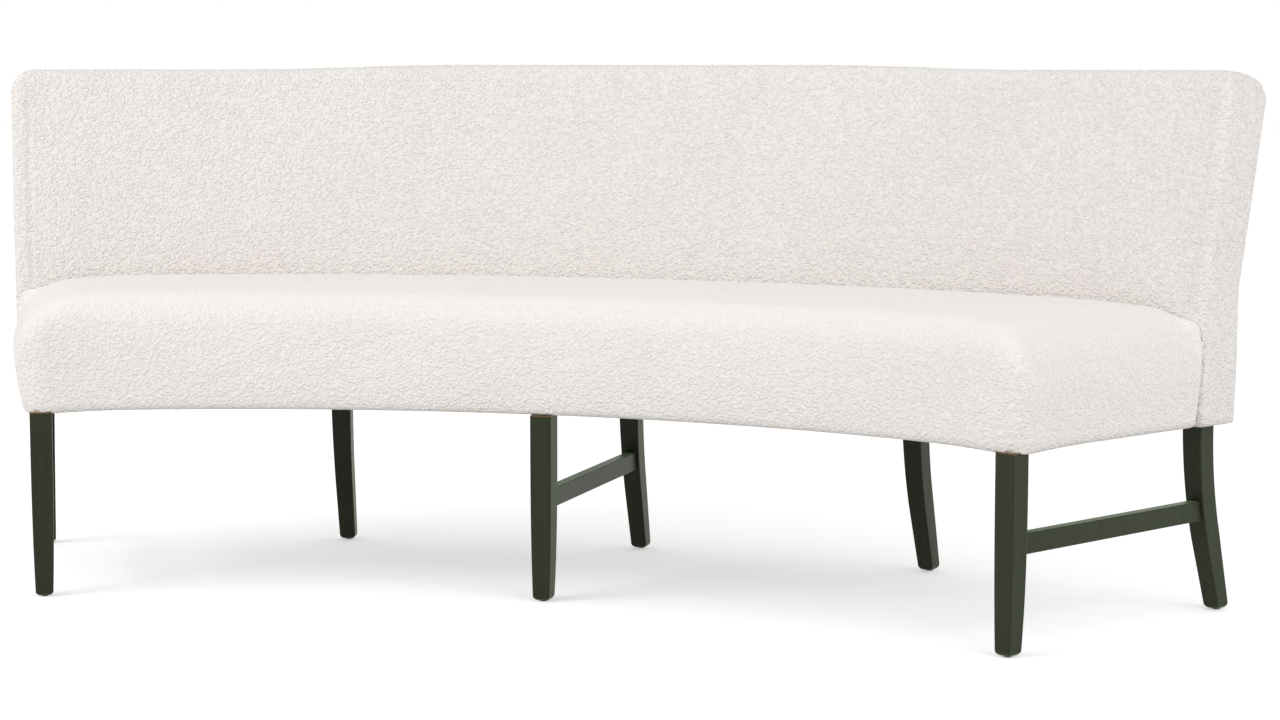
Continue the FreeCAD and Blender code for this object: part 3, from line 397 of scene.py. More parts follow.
def noise_at(tree, vector, scale, detail=2.0, roughness=0.5, distortion=0.0):
    made = add(
        tree, "ShaderNodeTexNoise",
        {"Vector": vector, "Scale": scale, "Detail": detail, "Roughness": roughness, "Distortion": distortion},
    )
    return made.outputs["Fac"]


def stretched(tree, vector, scale):
    return add(tree, "ShaderNodeMapping", {"Vector": vector, "Scale": scale}).outputs[0]


def bump(tree, height, distance, strength=1.0, normal=None):
    inputs = {"Height": height, "Distance": distance, "Strength": strength}
    if normal:
        inputs["Normal"] = normal
    return add(tree, "ShaderNodeBump", inputs).outputs[0]


def full(rgb):
    return (*rgb, 1.0)


def group(name, inputs, outputs):
    """A new node group with named sockets; returns it with its input and output nodes."""
    tree = bpy.data.node_groups.new(name, "ShaderNodeTree")
    kinds = {"v": "NodeSocketVector", "f": "NodeSocketFloat", "c": "NodeSocketColor"}
    for socket, kind in inputs:
        tree.interface.new_socket(socket, in_out="INPUT", socket_type=kinds[kind])
    for socket, kind in outputs:
        tree.interface.new_socket(socket, in_out="OUTPUT", socket_type=kinds[kind])
    return tree, tree.nodes.new("NodeGroupInput").outputs, tree.nodes.new("NodeGroupOutput").inputs


def put(tree, source, socket):
    tree.links.new(source, socket)


def use(tree, group_tree, inputs):
    made = tree.nodes.new("ShaderNodeGroup")
    made.node_tree = group_tree
    for name, source in inputs.items():
        if isinstance(source, bpy.types.NodeSocket):
            tree.links.new(source, made.inputs[name])
        else:
            made.inputs[name].default_value = source
    return made.outputs


def shared_group(name, build):
    return bpy.data.node_groups.get(name) or build(name)


def looped_cloth(name):
    """Curls of yarn: soft domes in wandering cells, a little wider than tall, with fine wool on them, and a mask of
    painted shade deep between them.
    """
    tree, given, made = group(
        name, [("Vector", "v"), ("Scale", "f"), ("Wander", "f")],
        [("Height", "f"), ("Crease", "f"), ("Patches", "f")],
    )
    flat = stretched(tree, given["Vector"], (1.0, 1.0, 1.15))
    warp = add(tree, "ShaderNodeTexNoise", {"Vector": flat, "Scale": 90.0, "Detail": 1.0}).outputs["Color"]
    centred = add(tree, "ShaderNodeVectorMath", {0: warp, 1: (0.5, 0.5, 0.5)}, operation="SUBTRACT").outputs[0]
    shift = add(
        tree, "ShaderNodeVectorMath", {0: centred, "Scale": given["Wander"]}, operation="SCALE"
    ).outputs[0]
    vector = add(tree, "ShaderNodeVectorMath", {0: flat, 1: shift}, operation="ADD").outputs[0]
    cell = add(
        tree, "ShaderNodeTexVoronoi",
        {"Vector": vector, "Scale": given["Scale"], "Randomness": 1.0, "Smoothness": 0.25}, feature="SMOOTH_F1",
    ).outputs["Distance"]
    wool = noise_at(tree, given["Vector"], 420.0, 1.0, 0.6)
    put(tree, math_node(tree, "MULTIPLY_ADD", wool, 0.2, remap(tree, cell, 0.75, 0.1)), made["Height"])
    # Painted shade: this mask marks where shade falls deep between the curls.
    put(tree, remap(tree, cell, 0.42, 0.75), made["Crease"])
    put(tree, remap(tree, noise_at(tree, given["Vector"], 5.5, 3.0, 0.6), 0.38, 0.66), made["Patches"])
    return tree


def wood_grain(name):
    """Long grain along Z of the vector given, as a colour and a height."""
    tree, given, made = group(
        name, [("Vector", "v"), ("Light", "c"), ("Dark", "c"), ("Scale", "f")], [("Color", "c"), ("Height", "f")]
    )
    long = add(
        tree, "ShaderNodeVectorMath", {0: given["Vector"], 1: (1.0, 1.0, 0.07)}, operation="MULTIPLY"
    ).outputs[0]
    rings = noise_at(tree, long, given["Scale"], 3.0, 0.6, 0.6)
    bands = add(
        tree, "ShaderNodeTexWave",
        {"Vector": long, "Scale": math_node(tree, "MULTIPLY", given["Scale"], 0.35), "Distortion": 3.0,
         "Detail": 2.0, "Detail Scale": 1.5},
    ).outputs["Fac"]
    pores = noise_at(tree, long, math_node(tree, "MULTIPLY", given["Scale"], 9.0), 2.0, 0.7)
    mask = math_node(tree, "MULTIPLY_ADD", bands, 0.55, math_node(tree, "MULTIPLY", rings, 0.5))
    mask = math_node(tree, "MULTIPLY_ADD", math_node(tree, "SUBTRACT", pores, 0.5), 0.5, mask, clamp=True)
    put(tree, mix(tree, mask, given["Light"], given["Dark"]), made["Color"])
    put(tree, mask, made["Height"])
    return tree


def use_wear(name):
    """Scuffs and dust: a soft mask of scattered marks and a fine grain for roughness."""
    tree, given, made = group(name, [("Vector", "v"), ("Scale", "f")], [("Scuffs", "f"), ("Grain", "f")])
    large = noise_at(tree, given["Vector"], given["Scale"], 4.0, 0.65)
    fine = noise_at(tree, given["Vector"], math_node(tree, "MULTIPLY", given["Scale"], 14.0), 3.0, 0.7)
    marks = math_node(tree, "MULTIPLY", remap(tree, large, 0.52, 0.72), remap(tree, fine, 0.45, 0.7))
    put(tree, marks, made["Scuffs"])
    put(tree, fine, made["Grain"])
    return tree


def woven(name):
    """Two crossing bands of threads over the X and Y of the vector given."""
    tree, given, made = group(
        name, [("Vector", "v"), ("Threads", "f")], [("Height", "f"), ("Fuzz", "f")]
    )
    first = add(
        tree, "ShaderNodeTexWave", {"Vector": given["Vector"], "Scale": given["Threads"]},
        bands_direction="X", wave_profile="SIN",
    ).outputs["Fac"]
    second = add(
        tree, "ShaderNodeTexWave", {"Vector": given["Vector"], "Scale": given["Threads"]},
        bands_direction="Y", wave_profile="SIN",
    ).outputs["Fac"]
    put(tree, math_node(tree, "MAXIMUM", first, second), made["Height"])
    fuzz = noise_at(tree, given["Vector"], math_node(tree, "MULTIPLY", given["Threads"], 3.0), 4.0, 0.75)
    put(tree, fuzz, made["Fuzz"])
    return tree


def material(name):
    """A new material with a Principled shader; returns it with its tree, shader and object coordinates."""
    made = bpy.data.materials.new(name)
    made.use_nodes = True
    tree = made.node_tree
    shader = tree.nodes["Principled BSDF"]
    place = add(tree, "ShaderNodeTexCoord").outputs["Object"]
    return made, tree, shader.inputs, place


def cloth_material(name, flatter_top, curl_height, rubbed_from):
    """Cream looped cloth with painted shade between its loops and towards its bottom edge, flatter on its upper faces
    and from the given height up.
    """
    cloth = bpy.context.scene.bench_cloth
    made, tree, shader, place = material(name)
    loops = use(
        tree, shared_group("Looped cloth", looped_cloth),
        {"Vector": place, "Scale": 178.0, "Wander": 0.006},
    )
    normal = add(tree, "ShaderNodeNewGeometry").outputs["Normal"]
    facing = add(tree, "ShaderNodeSeparateXYZ", {0: normal}).outputs[2]
    above = add(tree, "ShaderNodeSeparateXYZ", {0: place}).outputs[2]
    rubbed = remap(tree, above, rubbed_from, rubbed_from + 0.1, 0.0, 0.45)
    pressed = math_node(tree, "MAXIMUM", remap(tree, facing, 0.2, 1.0, 0.0, flatter_top), rubbed)
    seam = add(tree, "ShaderNodeAttribute", attribute_name="seam").outputs["Fac"]
    loft = add(tree, "ShaderNodeAttribute", attribute_name="loft").outputs["Fac"]
    # Painted shade between the loops, lessened on the pressed upper faces.
    towards_even = math_node(tree, "SUBTRACT", 0.3, loops["Crease"])
    even = math_node(tree, "MULTIPLY_ADD", towards_even, pressed, loops["Crease"])
    crease_shade = math_node(tree, "MULTIPLY", even, 0.30)
    # Painted shade where the curls are low.
    valley_shade = remap(tree, loft, 0.0, 0.35, 0.05, 0.0)
    # Painted shade: the cloth darkens towards its bottom edge at the seat's underside.
    hem = remap(tree, above, seat_underside, seat_underside + 0.018, 0.3, 0.0)
    dark = math_node(tree, "ADD", math_node(tree, "ADD", crease_shade, valley_shade), hem)
    dark = math_node(tree, "MULTIPLY_ADD", seam, 0.11, dark, clamp=True)
    warm = math_node(tree, "MULTIPLY", loops["Patches"], remap(tree, pressed, 0.0, 0.7, 0.8, 0.1))
    tinted = mix(tree, warm, full(cloth.cream), full(cloth.blush))
    put(tree, mix(tree, dark, tinted, full(cloth.crease_shade)), shader["Base Color"])
    shader["Roughness"].default_value = 0.95
    shader["Specular IOR Level"].default_value = 0.15
    shader["Sheen Weight"].default_value = 0.12
    shader["Sheen Roughness"].default_value = 0.5
    height = math_node(tree, "MULTIPLY", loops["Height"], remap(tree, pressed, 0.0, 1.0, 1.0, 0.2))
    put(tree, bump(tree, height, curl_height, 0.9), shader["Normal"])
    return made


def painted_wood():
    """Satin olive paint over close grain, thin on scuffed spots and bare at the very tops of the legs."""
    timber = bpy.context.scene.bench_timber
    made, tree, shader, place = material("Painted wood")
    grain = use(
        tree, shared_group("Wood grain", wood_grain),
        {"Vector": place, "Light": full(timber.paint), "Dark": full(timber.paint_worn), "Scale": 60.0},
    )
    wear = use(tree, shared_group("Wear", use_wear), {"Vector": place, "Scale": 16.0})
    edge = remap(tree, add(tree, "ShaderNodeNewGeometry").outputs["Pointiness"], 0.53, 0.62)
    height_z = add(tree, "ShaderNodeSeparateXYZ", {0: place}).outputs[2]
    ragged = math_node(tree, "MULTIPLY_ADD", noise_at(tree, place, 180.0, 2.0), 0.003, height_z)
    bare = remap(tree, ragged, seat_underside - 0.001, seat_underside + 0.0005)
    foot = remap(tree, ragged, 0.006, 0.024, 0.5, 0.0)
    worn = math_node(tree, "MAXIMUM", math_node(tree, "MAXIMUM", edge, foot), 0.12)
    thin = math_node(tree, "MULTIPLY", worn, wear["Scuffs"])
    light_grain = math_node(tree, "MULTIPLY", grain["Height"], 0.18)
    colours = mix(tree, light_grain, full(timber.paint), full(timber.paint_worn))
    colours = mix(tree, thin, colours, full(timber.paint_worn))
    put(tree, mix(tree, bare, colours, full(timber.bare)), shader["Base Color"])
    put(tree, remap(tree, wear["Grain"], 0.3, 0.75, 0.34, 0.46), shader["Roughness"])
    shader["Specular IOR Level"].default_value = 0.13
    shader["Sheen Weight"].default_value = 0.35
    shader["Sheen Roughness"].default_value = 0.4
    shader["Sheen Tint"].default_value = (0.60, 0.85, 0.45, 1.0)
    put(tree, bump(tree, grain["Height"], 0.00035, 0.5), shader["Normal"])
    return made


def timber_material(name, light, dark, scale, roughness):
    made, tree, shader, place = material(name)
    grain = use(
        tree, shared_group("Wood grain", wood_grain),
        {"Vector": stretched(tree, place, (0.12, 1.0, 4.0)), "Light": full(light), "Dark": full(dark),
         "Scale": scale},
    )
    wear = use(tree, shared_group("Wear", use_wear), {"Vector": place, "Scale": 9.0})
    scuffs = math_node(tree, "MULTIPLY", wear["Scuffs"], 0.4)
    put(tree, mix(tree, scuffs, grain["Color"], full(dark)), shader["Base Color"])
    put(tree, remap(tree, wear["Grain"], 0.3, 0.75, roughness - 0.1, roughness + 0.1), shader["Roughness"])
    put(tree, bump(tree, grain["Height"], 0.0005, 0.6), shader["Normal"])
    return made


def woven_material(name, rgb, threads, distance, roughness):
    """Dull woven or pressed cloth."""
    made, tree, shader, place = material(name)
    weave = use(tree, shared_group("Woven", woven), {"Vector": place, "Threads": threads})
    # The dim copy of the colour is painted shade between the raised threads, mixed with the uneven tone of the fuzz.
    shade = math_node(tree, "MULTIPLY_ADD", weave["Fuzz"], 0.7, math_node(tree, "MULTIPLY", weave["Height"], 0.3))
    dim = tuple(0.55 * part for part in rgb)
    put(tree, mix(tree, shade, full(dim), full(rgb)), shader["Base Color"])
    shader["Roughness"].default_value = roughness
    shader["Specular IOR Level"].default_value = 0.25
    height = math_node(tree, "ADD", weave["Height"], weave["Fuzz"])
    put(tree, bump(tree, height, distance, 0.7), shader["Normal"])
    return made


def hard_material(name, rgb, metallic, roughness):
    """Plated steel or moulded plastic with fine scuffs."""
    made, tree, shader, place = material(name)
    wear = use(tree, shared_group("Wear", use_wear), {"Vector": place, "Scale": 60.0})
    dim = tuple(0.6 * part for part in rgb)
    put(tree, mix(tree, wear["Scuffs"], full(rgb), full(dim)), shader["Base Color"])
    shader["Metallic"].default_value = metallic
    put(tree, remap(tree, wear["Grain"], 0.3, 0.75, roughness, roughness + 0.2), shader["Roughness"])
    put(tree, bump(tree, wear["Grain"], 0.0001, 0.4), shader["Normal"])
    return made


def finish_nodes(names, made):
    """Give CAD nodes a material; their meshes stay as they are."""
    for name in names:
        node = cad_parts[name]
        node.data.materials.clear()
        node.data.materials.append(made)


# Pieces
class BENCH_OT_seat_cushion(bpy.types.Operator):
    """Build the seat cushion with its crowned top, soft ends and looped cover"""

    bl_idname = "bench.seat_cushion"
    bl_label = "Seat cushion"
    SMALL_ROUNDS = {
        "top rear": 0.012, "rear end": 0.001, "foot front": 0.008, "foot rear": 0.004, "foot end": 0.008,
    }
    DROOP_RUN, REAR_DROOP_RUN, CORNER_RUN = 0.075, 0.038, 0.09  # lengths over which the ends sink
    END_RUN = 0.12  # length at each end where crown and bulge fade

    def execute(self, context):
        seat, cloth = context.scene.bench_seat, context.scene.bench_cloth
        inner, outer, low, high = seat.front_radius, seat.rear_radius, seat_underside, seat.top
        half = (inner + outer) / 2 * cloth.end_angle
        rounds = {
            "top front": seat.front_round, "top end": seat.end_round, "front end": seat.corner_round,
            **self.SMALL_ROUNDS,
        }
        piece = padded_block("seat_cushion", half, inner, outer, low, high, rounds)
        along, out, up = points_of(piece.data).T
        depth = (out - inner) / (outer - inner)
        rise = (up - low) / (high - low)
        inboard = half - np.abs(along)
        arch = (1 - (2 * depth - 1) ** 2) * rise
        drop = np.exp(-inboard / self.DROOP_RUN) * rise
        belly = 1 - (2 * rise - 1) ** 2
        corner = np.exp(-(inboard**2 + (out - inner) ** 2) / self.CORNER_RUN**2) * (1 - rise)
        rear_drop = np.exp(-inboard / self.REAR_DROOP_RUN) * eased(depth, 0.35, 1.0) * rise
        up = up + seat.crown * arch * eased(inboard, 0.0, self.END_RUN)
        up = up - seat.end_droop * drop - seat.corner_sink * corner
        up = up - seat.rear_droop * rear_drop
        out = out - seat.bulge * belly * (1 - eased(depth, 0.0, 0.5))
        high_belly = 1 - (2 * np.clip(rise, 0, 1) ** 1.6 - 1) ** 2
        near_end = 1 - eased(inboard, 0.0, self.END_RUN)
        swollen = seat.end_bulge * high_belly * near_end * (1 - 0.7 * eased(depth, 0.6, 1.0))
        along = along + np.sign(along) * swollen
        offset = math.tan(seat.end_tilt) * (up - seat_underside)
        set_points(piece.data, on_the_arc(np.stack([along, out, up], axis=1), half, offset))
        held = (rise < 0.05) | (depth > 0.985)
        tight = np.where(held, 0.0, 1.0)[:, None]
        set_points(piece.data, points_of(piece.data) - normals_of(piece.data) * cloth.inset * tight)
        store(piece.data, "free", eased(rise, 0.0, 0.06) * (1 - eased(depth, 0.975, 0.995)))
        swell(piece, held)
        finer(piece)
        self.loop(piece, cloth)
        piece.data.shade_smooth()
        piece.data.materials.clear()
        piece.data.materials.append(cloth_material("Seat cloth", 0.75, 0.0019, 0.395))
        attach(piece, "root")
        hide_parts("seat_cover", "seat_foam", "seat_edge_foam")
        return {"FINISHED"}

    def loop(self, piece, cloth):
        """Raise the curls out of the swollen cover, lower on the pressed top and not where it is hidden."""
        mesh = piece.data
        points, normals = points_of(mesh), normals_of(mesh)
        free = np.empty(len(mesh.vertices), np.float32)
        mesh.attributes["free"].data.foreach_get("value", free)
        heights = curls(points, cloth.loop_step)
        pressed = 1 - 0.45 * eased(normals[:, 2], 0.6, 0.97)
        amount = cloth.loop_height * heights * pressed * (LEAST_LOOPS + (1 - LEAST_LOOPS) * free)
        set_points(mesh, points + normals * amount[:, None])
        store(mesh, "loft", np.clip(heights * 0.5 + 0.5, 0, 1))
        store(mesh, "seam", np.zeros(len(points)))


class BENCH_OT_back_cushion(bpy.types.Operator):
    """Build the leaning back cushion with its sewn side panels and rear panel"""

    bl_idname = "bench.back_cushion"
    bl_label = "Back cushion"
    SMALL_ROUNDS = {
        "top front": 0.022, "top rear": 0.045, "front end": 0.001, "foot front": 0.002, "foot rear": 0.005,
        "foot end": 0.005,
    }
    FOOT_RUN = 0.11  # height over which the ends draw in towards the foot
    ROLL, ROLL_AT = 0.0009, 2.6  # height of the cloth's roll beside a seam, and its place in seam widths
    STITCH_WIDTH = 0.0022  # half the width of the dark line in a seam

    def execute(self, context):
        back, cloth = context.scene.bench_back, context.scene.bench_cloth
        inner, low, high = back.front_radius, seat_underside, back.top
        outer = inner + back.thickness
        half = (inner + outer) / 2 * cloth.end_angle
        rounds = {"top end": back.end_round, "rear end": back.rear_corner, **self.SMALL_ROUNDS}
        piece = padded_block("back_cushion", half, inner, outer, low, high, rounds)
        along, out, up = points_of(piece.data).T
        depth = (out - inner) / (outer - inner)
        inboard = half - np.abs(along)
        front = self.lean(up, back.front_knee, back.front_lean, back.knee_length)
        rear = self.lean(up, back.rear_knee, back.rear_lean, back.knee_length)
        out = out + front * (1 - depth) + rear * depth
        near_top = eased(up, high - 0.12, high - 0.03)
        droop = back.end_droop * (1 - eased(inboard, 0.42, 0.78))
        up = up - near_top * (back.rear_drop * depth + droop)
        offset = back.end_reach - back.foot_draw * (1 - eased(up, low, low + self.FOOT_RUN))
        set_points(piece.data, on_the_arc(np.stack([along, out, up], axis=1), half, offset))
        rear_face = (depth > 0.5) & (np.abs(up - back.rear_seam) < 0.006)
        hidden = (depth < 0.25) & (up < back.front_knee - 0.012)
        held = (up < low + 0.008) | hidden | rear_face
        tight = np.where(held, 0.0, 1.0)[:, None]
        set_points(piece.data, points_of(piece.data) - normals_of(piece.data) * cloth.inset * tight)
        below_knee = 1 - eased(up, back.front_knee - 0.02, back.front_knee - 0.004)
        behind_seat = (1 - eased(depth, 0.1, 0.3)) * below_knee
        store(piece.data, "free", np.minimum(1 - behind_seat, eased(up, low, low + 0.01)))
        store(piece.data, "inboard", inboard)
        store(piece.data, "depth", depth)
        store(piece.data, "up", up)
        swell(piece, held)
        finer(piece)
        self.sew(piece, back, cloth)
        piece.data.shade_smooth()
        piece.data.materials.clear()
        piece.data.materials.append(cloth_material("Back cloth", 0.3, 0.0025, 2.0))
        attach(piece, "root")
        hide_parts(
            "back_front_cover", "back_rear_cover", "back_side_cover_left", "back_side_cover_right",
            "back_foam",
        )
        return {"FINISHED"}

    def lean(self, up, knee, angle, run):
        """How far a face has leant outwards at each height, with a soft start at its knee."""
        above = np.clip((up - knee + run) / (2 * run), 0, 1)
        return math.tan(angle) * (run * above**2 + np.maximum(up - knee - run, 0))

    def sew(self, piece, back, cloth):
        """Draw the seams in and raise the curls beside them."""
        mesh = piece.data
        facts = {}
        for name in ["free", "inboard", "depth", "up"]:
            facts[name] = np.empty(len(mesh.vertices), np.float32)
            mesh.attributes[name].data.foreach_get("value", facts[name])
        points, normals = points_of(mesh), normals_of(mesh)
        side = np.abs(facts["inboard"] - back.side_seam)
        rear = np.where(facts["depth"] > 0.55, np.abs(facts["up"] - back.rear_seam), 1.0)
        rear = np.where(facts["inboard"] > back.side_seam, rear, 1.0)
        apart = np.minimum(side, rear) / cloth.seam_width
        open_to = 1 - 0.75 * eased(facts["up"], back.top - 0.06, back.top - 0.02)
        groove = np.exp(-(apart**2)) * open_to
        roll = np.exp(-((apart - self.ROLL_AT) ** 2)) * open_to
        heights = curls(points, cloth.loop_step)
        shown = LEAST_LOOPS + (1 - LEAST_LOOPS) * facts["free"]
        amount = cloth.loop_height * heights * shown * (1 - 0.6 * groove)
        amount += facts["free"] * (self.ROLL * roll - cloth.seam_depth * groove)
        set_points(mesh, points + normals * amount[:, None])
        store(mesh, "loft", np.clip(heights * 0.5 + 0.5, 0, 1))
        store(mesh, "seam", np.exp(-((np.minimum(side, rear) / self.STITCH_WIDTH) ** 2)))


class BENCH_OT_dust_cover(bpy.types.Operator):
    """Stretch the lining cloth under the seat and staple its edges"""

    bl_idname = "bench.dust_cover"
    bl_label = "Dust cover"
    END_GAP = 0.024  # how far the lining stops short of the seat's ends
    CLOTH_THICKNESS = 0.0006
    STAPLE, STAPLE_BEVEL = (0.010, 0.0012, 0.0007), 0.00025
    STAPLE_EDGE = 0.008  # distance of the staples from the lining's edges

    def execute(self, context):
        hidden, cloth = context.scene.bench_hidden, context.scene.bench_cloth
        inner, outer = hidden.lining_front, hidden.lining_rear
        end = cloth.end_angle - self.END_GAP / context.scene.bench_seat.front_radius
        top = seat_underside - 0.0002
        bm = bmesh.new()
        bmesh.ops.create_grid(bm, x_segments=120, y_segments=26, size=0.5)
        for vert in bm.verts:
            turn, out = 2 * vert.co.x * end, inner + (vert.co.y + 0.5) * (outer - inner)
            hang = math.sin(math.pi * (vert.co.y + 0.5)) * abs(math.sin(4 * math.pi * (vert.co.x + 0.5))) ** 0.7
            ripple = 0.0004 * noise.noise(Vector((vert.co.x * 60, vert.co.y * 12, 0.0)))
            sag = hidden.lining_sag * hang + (ripple if hang > 0.02 else 0.0)
            vert.co = (out * math.sin(turn), out * math.cos(turn) + arc_centre, top - abs(sag))
        bmesh.ops.recalc_face_normals(bm, faces=bm.faces)
        bmesh.ops.solidify(bm, geom=bm.faces, thickness=self.CLOTH_THICKNESS)
        mesh = bpy.data.meshes.new("dust_cover_cloth")
        bm.to_mesh(mesh)
        bm.free()
        mesh.shade_smooth()
        lining = woven_material("Lining cloth", hidden.lining, 900.0, 0.0002, 0.85)
        piece = new_piece("dust_cover_cloth", mesh, lining)
        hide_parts("dust_cover")
        staples = self.staples(inner, outer, end, hidden.staple_step)
        steel = hard_material("Staple steel", hidden.zinc, 1.0, 0.4)
        made = new_piece("dust_cover_staples", staples, steel)
        return {"FINISHED"}

    def staples(self, inner, outer, end, step):
        """Staple crowns along the lining's four edges, each slightly askew."""
        bm = bmesh.new()
        places = []
        for out in (inner + self.STAPLE_EDGE, outer - self.STAPLE_EDGE):
            count = int(2 * end * out / step)
            places += [(out, end * (2 * (i + 0.5) / count - 1), 0.0) for i in range(count)]
        count = int((outer - inner) / step)
        for side in (-1, 1):
            turn = end - self.STAPLE_EDGE / outer
            places += [
                (inner + (i + 0.5) * (outer - inner) / count, side * turn, math.pi / 2) for i in range(count)
            ]
        for out, turn, across in places:
            made = bmesh.ops.create_cube(bm, size=1.0)["verts"]
            bmesh.ops.scale(bm, vec=self.STAPLE, verts=made)
            edges = list({edge for vert in made for edge in vert.link_edges})
            made = bmesh.ops.bevel(
                bm, geom=edges, offset=self.STAPLE_BEVEL, segments=1, profile=0.5, affect="EDGES", material=-1
            )["verts"]
            askew = 0.25 * noise.noise(Vector((out * 37, turn * 61, 0.5)))
            spin = Matrix.Rotation(askew + across - turn, 3, "Z")
            bmesh.ops.rotate(bm, cent=(0, 0, 0), matrix=spin, verts=made)
            place = (out * math.sin(turn), out * math.cos(turn) + arc_centre, seat_underside - 0.0010)
            bmesh.ops.translate(bm, vec=place, verts=made)
        mesh = bpy.data.meshes.new("dust_cover_staples")
        bm.to_mesh(mesh)
        bm.free()
        return mesh


class BENCH_OT_legs(bpy.types.Operator):
    """Paint the legs and stretchers"""

    bl_idname = "bench.legs"
    bl_label = "Legs and stretchers"

    def execute(self, context):
        names = [f"{kind}_{side}" for kind in ["front_leg", "stretcher"] for side in FRONT_LEGS]
        finish_nodes(names + [f"rear_leg_{side}" for side in REAR_LEGS], painted_wood())
        return {"FINISHED"}


class BENCH_OT_frame(bpy.types.Operator):
    """Finish the hidden rails, posts, dowels and boards"""

    bl_idname = "bench.frame"
    bl_label = "Hidden frame"

    def execute(self, context):
        timber = context.scene.bench_timber
        names = [f"seat_cross_rail_{side}" for side in CROSS_RAILS] + [f"seat_end_rail_{side}" for side in SIDES]
        names += [f"back_post_{side}" for side in REAR_LEGS]
        names += ["seat_front_rail", "seat_rear_rail", "seat_glue_blocks", "back_bearing_rail", "back_lower_rail"]
        names += ["back_top_rail", "seat_rail_dowels", "back_post_dowels", "leg_dowels"]
        finish_nodes(names, timber_material("Frame wood", timber.pine, timber.pine_dark, 34.0, 0.62))
        boards = timber_material("Frame board", timber.board, timber.board_dark, 90.0, 0.7)
        finish_nodes(["back_inner_board", "back_outer_board"], boards)
        return {"FINISHED"}


class BENCH_OT_suspension(bpy.types.Operator):
    """Finish the felt and the elastic straps"""

    bl_idname = "bench.suspension"
    bl_label = "Suspension"

    def execute(self, context):
        hidden = context.scene.bench_hidden
        finish_nodes(["seat_felt"], woven_material("Felt", hidden.felt, 160.0, 0.0006, 0.95))
        finish_nodes(["seat_straps"], woven_material("Elastic strap", hidden.strap, 420.0, 0.0004, 0.8))
        return {"FINISHED"}


class BENCH_OT_hardware(bpy.types.Operator):
    """Finish bolts, nuts, washers and floor glides"""

    bl_idname = "bench.hardware"
    bl_label = "Hardware"

    def execute(self, context):
        hidden = context.scene.bench_hidden
        names = ["leg_bolts", "leg_insert_nuts", "seat_back_bolts", "seat_back_washers", "seat_back_insert_nuts"]
        finish_nodes(names, hard_material("Zinced steel", hidden.zinc, 1.0, 0.32))
        finish_nodes(["floor_glides"], hard_material("Glide plastic", hidden.glide, 0.0, 0.5))
        return {"FINISHED"}


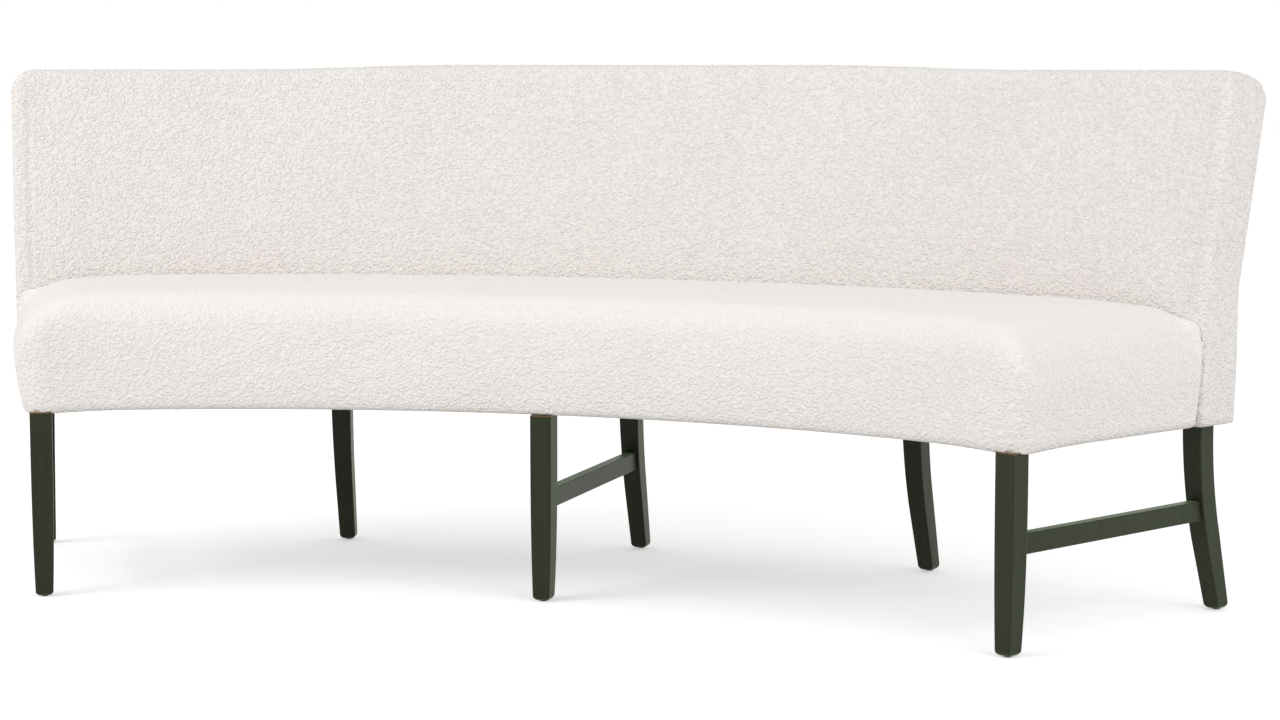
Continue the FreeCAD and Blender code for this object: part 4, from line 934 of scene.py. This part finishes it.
class BENCH_OT_studio(bpy.types.Operator):
    """Set the floor, the even light and the camera"""

    bl_idname = "bench.studio"
    bl_label = "Studio"
    AIM_HEIGHT = 0.45
    LAMPS = {  # where each lamp stands, the place along X that it points at, and its size
        "left_lamp": ((-3.8, -3.8, 3.3), 0.0, (3.5, 2.6)),
        "right_lamp": ((4.0, -3.8, 3.2), 0.2, (3.0, 2.4)),
        "side_lamp": ((5.4, -1.6, 2.6), 0.6, (2.6, 2.4)),
    }

    def execute(self, context):
        scene, studio = context.scene, context.scene.bench_studio
        bm = bmesh.new()
        bmesh.ops.create_grid(bm, x_segments=1, y_segments=1, size=30)
        mesh = bpy.data.meshes.new("floor")
        bm.to_mesh(mesh)
        bm.free()
        floor = bpy.data.objects.new("floor", mesh)
        scene.collection.objects.link(floor)
        mesh.materials.append(self.floor_material(studio))
        self.sky(scene, studio)
        for name, (place, along, size) in self.LAMPS.items():
            self.lamp(name, place, (along, 0.0, self.AIM_HEIGHT), size, getattr(studio, name))
        data = bpy.data.cameras.new("camera")
        data.lens, data.sensor_width = studio.lens, 36.0
        camera = bpy.data.objects.new("camera", data)
        camera.location, camera.rotation_euler = studio.camera_place, studio.camera_turn
        scene.collection.objects.link(camera)
        scene.camera = camera
        scene.view_settings.view_transform = "Standard"
        return {"FINISHED"}

    def seen(self, tree):
        """1 for rays that come from the camera, a reflection or glass, else 0."""
        path = tree.nodes.new("ShaderNodeLightPath").outputs
        first = math_node(tree, "MAXIMUM", path["Is Camera Ray"], path["Is Glossy Ray"])
        return math_node(tree, "MAXIMUM", first, path["Is Transmission Ray"])

    def floor_material(self, studio):
        made = bpy.data.materials.new("Studio floor")
        made.use_nodes = True
        tree = made.node_tree
        tree.nodes.remove(tree.nodes["Principled BSDF"])
        matt = add(tree, "ShaderNodeBsdfDiffuse", {"Color": full(studio.floor)}).outputs[0]
        strength = math_node(tree, "MULTIPLY", self.seen(tree), studio.floor_glow)
        glow = add(tree, "ShaderNodeEmission", {"Strength": strength}).outputs[0]
        both = add(tree, "ShaderNodeAddShader", {0: matt, 1: glow}).outputs[0]
        put(tree, both, tree.nodes["Material Output"].inputs["Surface"])
        return made

    def sky(self, scene, studio):
        world = scene.world or bpy.data.worlds.new("Studio")
        scene.world = world
        world.use_nodes = True
        tree = world.node_tree
        light = tree.nodes["Background"].inputs
        light["Color"].default_value = (1, 1, 1, 1)
        path = self.seen(tree)
        put(tree, remap(tree, path, 0.0, 1.0, studio.sky, 1.0), light["Strength"])

    def lamp(self, name, place, aim, size, power):
        data = bpy.data.lights.new(name, "AREA")
        data.shape = "RECTANGLE"
        data.size, data.size_y = size
        data.energy = power
        lamp = bpy.data.objects.new(name, data)
        lamp.location = place
        lamp.rotation_euler = (Vector(aim) - Vector(place)).to_track_quat("-Z", "Y").to_euler()
        bpy.context.scene.collection.objects.link(lamp)


class BENCH_PT_panel(bpy.types.Panel):
    """Lists the bench's sizes, colours and pieces"""

    bl_idname = "BENCH_PT_panel"
    bl_label = "Banquette bench"
    bl_space_type = "VIEW_3D"
    bl_region_type = "UI"
    bl_category = "Bench"

    def draw(self, context):
        for title, holder in CHOICES.items():
            box = self.layout.box()
            box.label(text=title.replace("bench_", "").capitalize())
            group_of = getattr(context.scene, title)
            for name in holder.__annotations__:
                box.prop(group_of, name)
        for step in STEPS:
            self.layout.operator(step.bl_idname)


STEPS = [
    BENCH_OT_studio, BENCH_OT_seat_cushion, BENCH_OT_back_cushion, BENCH_OT_dust_cover, BENCH_OT_legs,
    BENCH_OT_frame, BENCH_OT_suspension, BENCH_OT_hardware,
]
CHOICES = {
    "bench_seat": SeatChoices, "bench_back": BackChoices, "bench_cloth": ClothChoices,
    "bench_timber": TimberChoices, "bench_hidden": HiddenChoices, "bench_studio": StudioChoices,
}


def register():
    for holder in CHOICES.values():
        bpy.utils.register_class(holder)
    for name, holder in CHOICES.items():
        setattr(bpy.types.Scene, name, PointerProperty(type=holder))
    for step in STEPS:
        bpy.utils.register_class(step)
    bpy.utils.register_class(BENCH_PT_panel)


def unregister():
    bpy.utils.unregister_class(BENCH_PT_panel)
    for step in reversed(STEPS):
        bpy.utils.unregister_class(step)
    for name in CHOICES:
        delattr(bpy.types.Scene, name)
    for holder in reversed(CHOICES.values()):
        bpy.utils.unregister_class(holder)


def main():
    register()
    for step in STEPS:
        getattr(bpy.ops.bench, step.bl_idname.partition(".")[2])()


if __name__ == "__main__":
    main()
